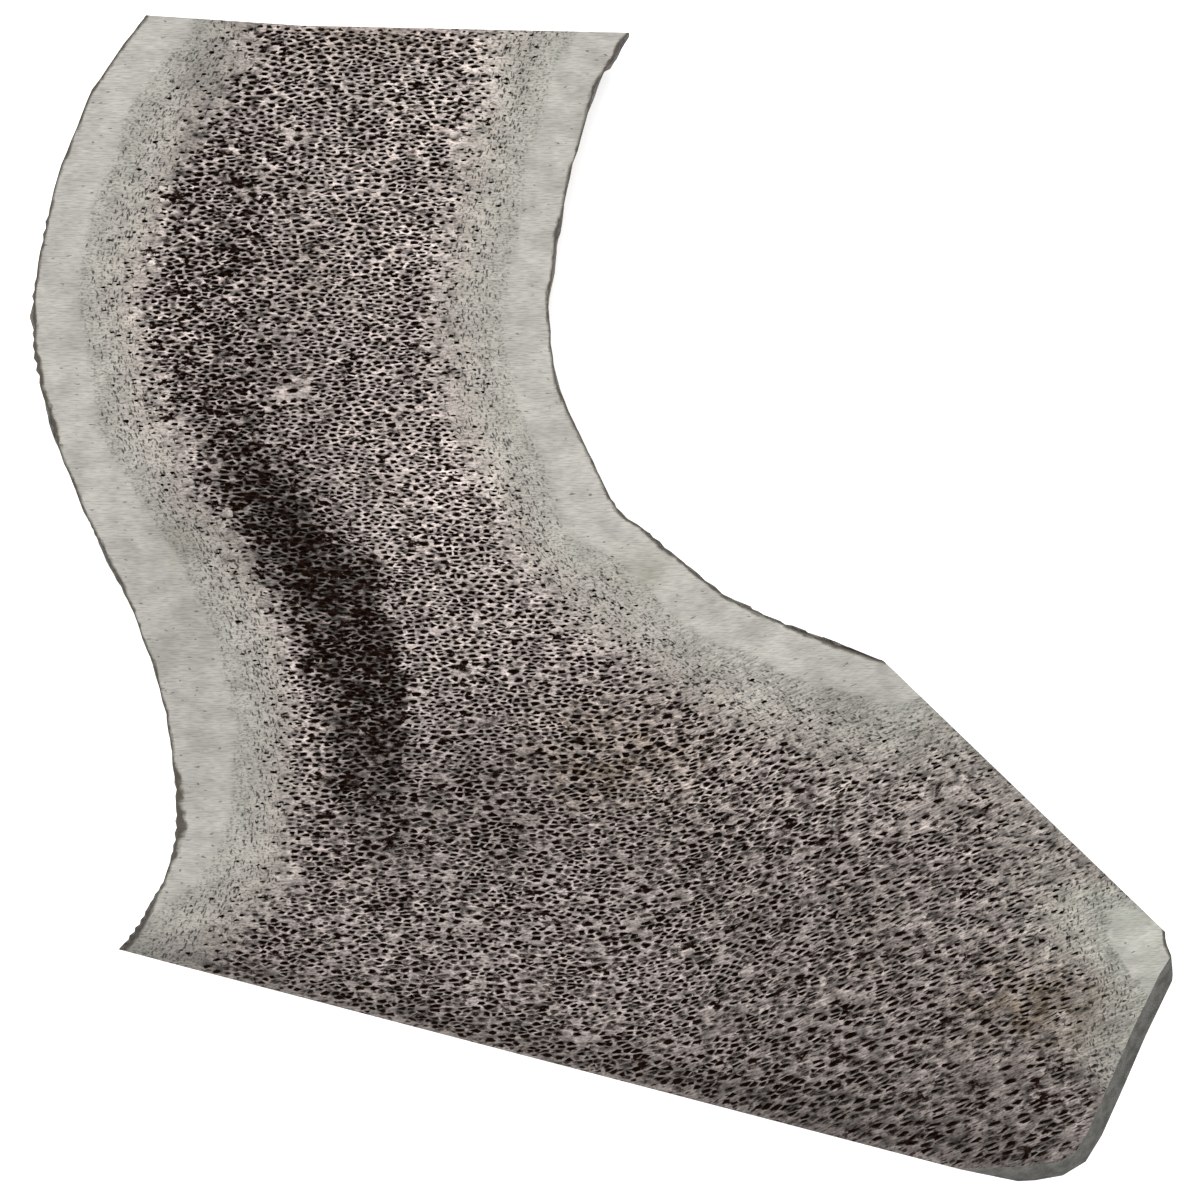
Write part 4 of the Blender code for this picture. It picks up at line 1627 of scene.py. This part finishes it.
@dataclass(frozen=True)
class GroundFinish:
    """The bevel that was ground along the tine's end: its pores smeared shut with grey dust."""

    outer: Colour = (0.086, 0.084, 0.071)
    inner: Colour = (0.136, 0.133, 0.115)
    pit: Colour = (0.060, 0.052, 0.042)
    lumps: Cloud = Cloud((1.3, 1.3, 1.3), 4.0, 0.35, 0.70)
    lumps_loss: float = 0.36
    scratches: Cloud = Cloud((0.15, 0.15, 1.5), 2.0, 0.35, 0.70)
    scratches_loss: float = 0.25
    specks: Speckle = Speckle((0.9, 0.6, 0.6), 0.42, 0.45)

    def material(self, groups: Groups) -> bpy.types.Material:
        """The finish as a material."""
        made, nodes = new_material("ground_bone", groups)
        lumps, scratches = nodes.cloud(self.lumps), nodes.cloud(self.scratches)
        specks = nodes.speckle(self.specks)
        darker = ((self.lumps_loss, lumps), (self.scratches_loss, scratches))
        light = nodes.product(*(nodes.less(loss, mask) for loss, mask in darker))
        colour = nodes.blend(nodes.attribute(Layer.RELIEF), self.outer, self.inner)
        colour = nodes.blend(1.0, colour, light, "MULTIPLY")
        surface = {
            "Base Color": nodes.blend(nodes.product(specks, lumps), colour, self.pit),
            "Roughness": nodes.line(lumps, 0.15, 0.6),
            "Normal": nodes.bump(scratches, 0.4, 0.06 * MM),
            "Specular IOR Level": 0.25,
        }
        nodes.finish(surface)
        return made


@dataclass(frozen=True)
class BarkFinish:
    """The antler's natural skin: dark brown in the furrows, rubbed to tan on the ridges."""

    furrow: Colour = (0.031, 0.022, 0.014)
    middle: Colour = (0.112, 0.077, 0.048)
    worn: Colour = (0.36, 0.27, 0.174)
    slope: Band = (0.02, 0.62)
    ridge: Band = (0.55, 1.02)
    lumps: Cloud = Cloud((11.0, 16.0, 9.0), 3.0, 0.35, 0.68)
    fibres: Cloud = Cloud((0.45, 3.2, 0.45), 4.0, 0.36, 0.66)
    fibres_loss: float = 0.35
    fine: Cloud = Cloud((0.35, 0.5, 0.35), 3.0, 0.35, 0.70)
    fine_loss: float = 0.30
    pearls: Speckle = Speckle((1.7, 2.6, 1.7), 0.55, 0.55)

    def material(self, groups: Groups) -> bpy.types.Material:
        """The finish as a material."""
        made, nodes = new_material("bark", groups)
        lumps, fibres, fine = (nodes.cloud(cloud) for cloud in (self.lumps, self.fibres, self.fine))
        pearls = nodes.speckle(self.pearls)
        high = nodes.line(pearls, 0.16, nodes.line(fibres, -0.22, nodes.attribute(Layer.RELIEF)))
        rubbed = nodes.product(nodes.ramp(high, *self.ridge), nodes.less(0.65, lumps))
        colour = nodes.blend(nodes.ramp(high, *self.slope), self.furrow, self.middle)
        colour = nodes.blend(rubbed, colour, self.worn)
        light = nodes.product(nodes.less(self.fine_loss, fine), nodes.less(self.fibres_loss, fibres))
        height = nodes.math("ADD", nodes.line(fine, -0.3, pearls), nodes.less(1.0, fibres))
        surface = {
            "Base Color": nodes.blend(1.0, colour, light, "MULTIPLY"),
            "Roughness": nodes.line(rubbed, -0.20, nodes.line(fine, 0.15, 0.56)),
            "Normal": nodes.bump(height, 0.7, 0.18 * MM),
            "Specular IOR Level": 0.4,
        }
        nodes.finish(surface)
        return made


@dataclass
class Studio:
    """A pale floor, soft light from above, and a camera that looks straight down."""

    height: float
    frame_width: float = 0.120
    lens: float = 150.0
    centre: Place = (0.0, 0.0)
    floor_half: float = 1.5
    floor_colour: Colour = (0.97, 0.97, 0.97)
    floor_glow: float = 0.55
    sky: float = 0.28
    lamp_power: float = 24.0
    lamp_size: float = 0.55
    lamp_place: tuple[float, float, float] = (-0.06, 0.12, 1.60)

    def build(self) -> None:
        """Adds the floor, the lights and the camera."""
        self.build_floor()
        self.build_light()
        self.build_camera()

    def build_floor(self) -> None:
        """A square of plain pale floor, lit a little from inside so that shadows on it stay faint."""
        half = self.floor_half
        data = bpy.data.meshes.new("floor")
        corners = ((-half, -half, 0.0), (half, -half, 0.0), (half, half, 0.0), (-half, half, 0.0))
        data.from_pydata(corners, [], [(0, 1, 2, 3)])
        finish, nodes = new_material("floor", {})
        surface = {
            "Base Color": self.floor_colour,
            "Roughness": 0.9,
            "Specular IOR Level": 0.1,
            "Emission Color": self.floor_colour,
            "Emission Strength": self.floor_glow,
        }
        nodes.finish(surface)
        data.materials.append(finish)
        floor = bpy.data.objects.new("floor", data)
        bpy.context.scene.collection.objects.link(floor)

    def build_light(self) -> None:
        """Light from the whole sky, and a large soft lamp above."""
        world = bpy.data.worlds.new("studio")
        world.use_nodes = True
        background = world.node_tree.nodes["Background"]
        background.inputs["Color"].default_value = (1.0, 1.0, 1.0, 1.0)
        background.inputs["Strength"].default_value = self.sky
        bpy.context.scene.world = world
        lamp = bpy.data.lights.new("softbox", "AREA")
        lamp.shape = "SQUARE"
        lamp.size = self.lamp_size
        lamp.energy = self.lamp_power
        holder = bpy.data.objects.new("softbox", lamp)
        holder.location = self.lamp_place
        holder.rotation_euler = (-Vector(self.lamp_place)).to_track_quat("-Z", "Y").to_euler()
        bpy.context.scene.collection.objects.link(holder)

    def build_camera(self) -> None:
        """A long lens straight above the cut face."""
        data = bpy.data.cameras.new("camera")
        data.lens = self.lens
        data.clip_end = 10.0
        camera = bpy.data.objects.new("camera", data)
        away = self.frame_width * data.lens / data.sensor_width
        camera.location = (*self.centre, self.height + away)
        bpy.context.scene.collection.objects.link(camera)
        bpy.context.scene.camera = camera
        bpy.context.scene.view_settings.view_transform = "Standard"


@dataclass
class Antler:
    """The whole piece: one closed mesh of bark, bevel, cut face and sawn ends."""

    skin: Skin
    face_spacing: float = 0.86 * MM
    face_stretch: float = 2.3
    end_spacing: float = 0.98 * MM
    end_stretch: float = 1.2
    first_seed: int = 40
    bevel_height: float = 2.0 * MM

    def build(self) -> bpy.types.Object:
        """Closes the skin's sawn surfaces and makes the piece."""
        Relief(self.skin).carve()
        bone = Bone(Rim(self.skin))
        layout = BakeLayout(self.skin)
        layout.lay_skin()
        self.shade_bevel()
        for number, sheet in enumerate(self.skin.sheets):
            on_face = isinstance(sheet, CutPlane)
            spacing = self.face_spacing if on_face else self.end_spacing
            stretch = self.face_stretch if on_face else self.end_stretch
            marrow = Marrow(bone, spacing, stretch, self.first_seed + 2 * number)
            count = SawnSurface(self.skin, bone, marrow, Tones(), layout, number).build()
            log.info("%s %d: %d pores", type(sheet).__name__, number, count)
        return self.piece()

    def shade_bevel(self) -> None:
        """Writes how far up the bevel each of its points lies."""
        for face in self.skin.mesh.faces:
            if face.material_index == Finish.GROUND.value:
                for vertex in face.verts:
                    height = 1.0 - (self.skin.top - vertex.co.z) / self.bevel_height
                    self.skin.set(vertex, Layer.RELIEF, min(1.0, max(0.0, height)))

    def piece(self) -> bpy.types.Object:
        """The finished mesh as an object, with its materials."""
        mesh = self.skin.mesh
        bmesh.ops.recalc_face_normals(mesh, faces=mesh.faces)
        data = bpy.data.meshes.new("antler_bone")
        mesh.to_mesh(data)
        mesh.free()
        groups = Effects().groups()
        for finish in (BoneFinish(), BarkFinish(), GroundFinish()):
            data.materials.append(finish.material(groups))
        piece = bpy.data.objects.new("antler_piece", data)
        bpy.context.scene.collection.objects.link(piece)
        log.info("%s: %d faces", piece.name, len(data.polygons))
        return piece


def main() -> None:
    """Builds the scene: the antler, then the studio round it."""
    logging.basicConfig(level=logging.INFO, format="%(message)s")
    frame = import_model()
    skin = Skin(frame["nodes"][NODE])
    piece = Antler(skin).build()
    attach(piece, BODY)
    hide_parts(NODE)
    Studio(skin.top).build()


if __name__ == "__main__":
    main()
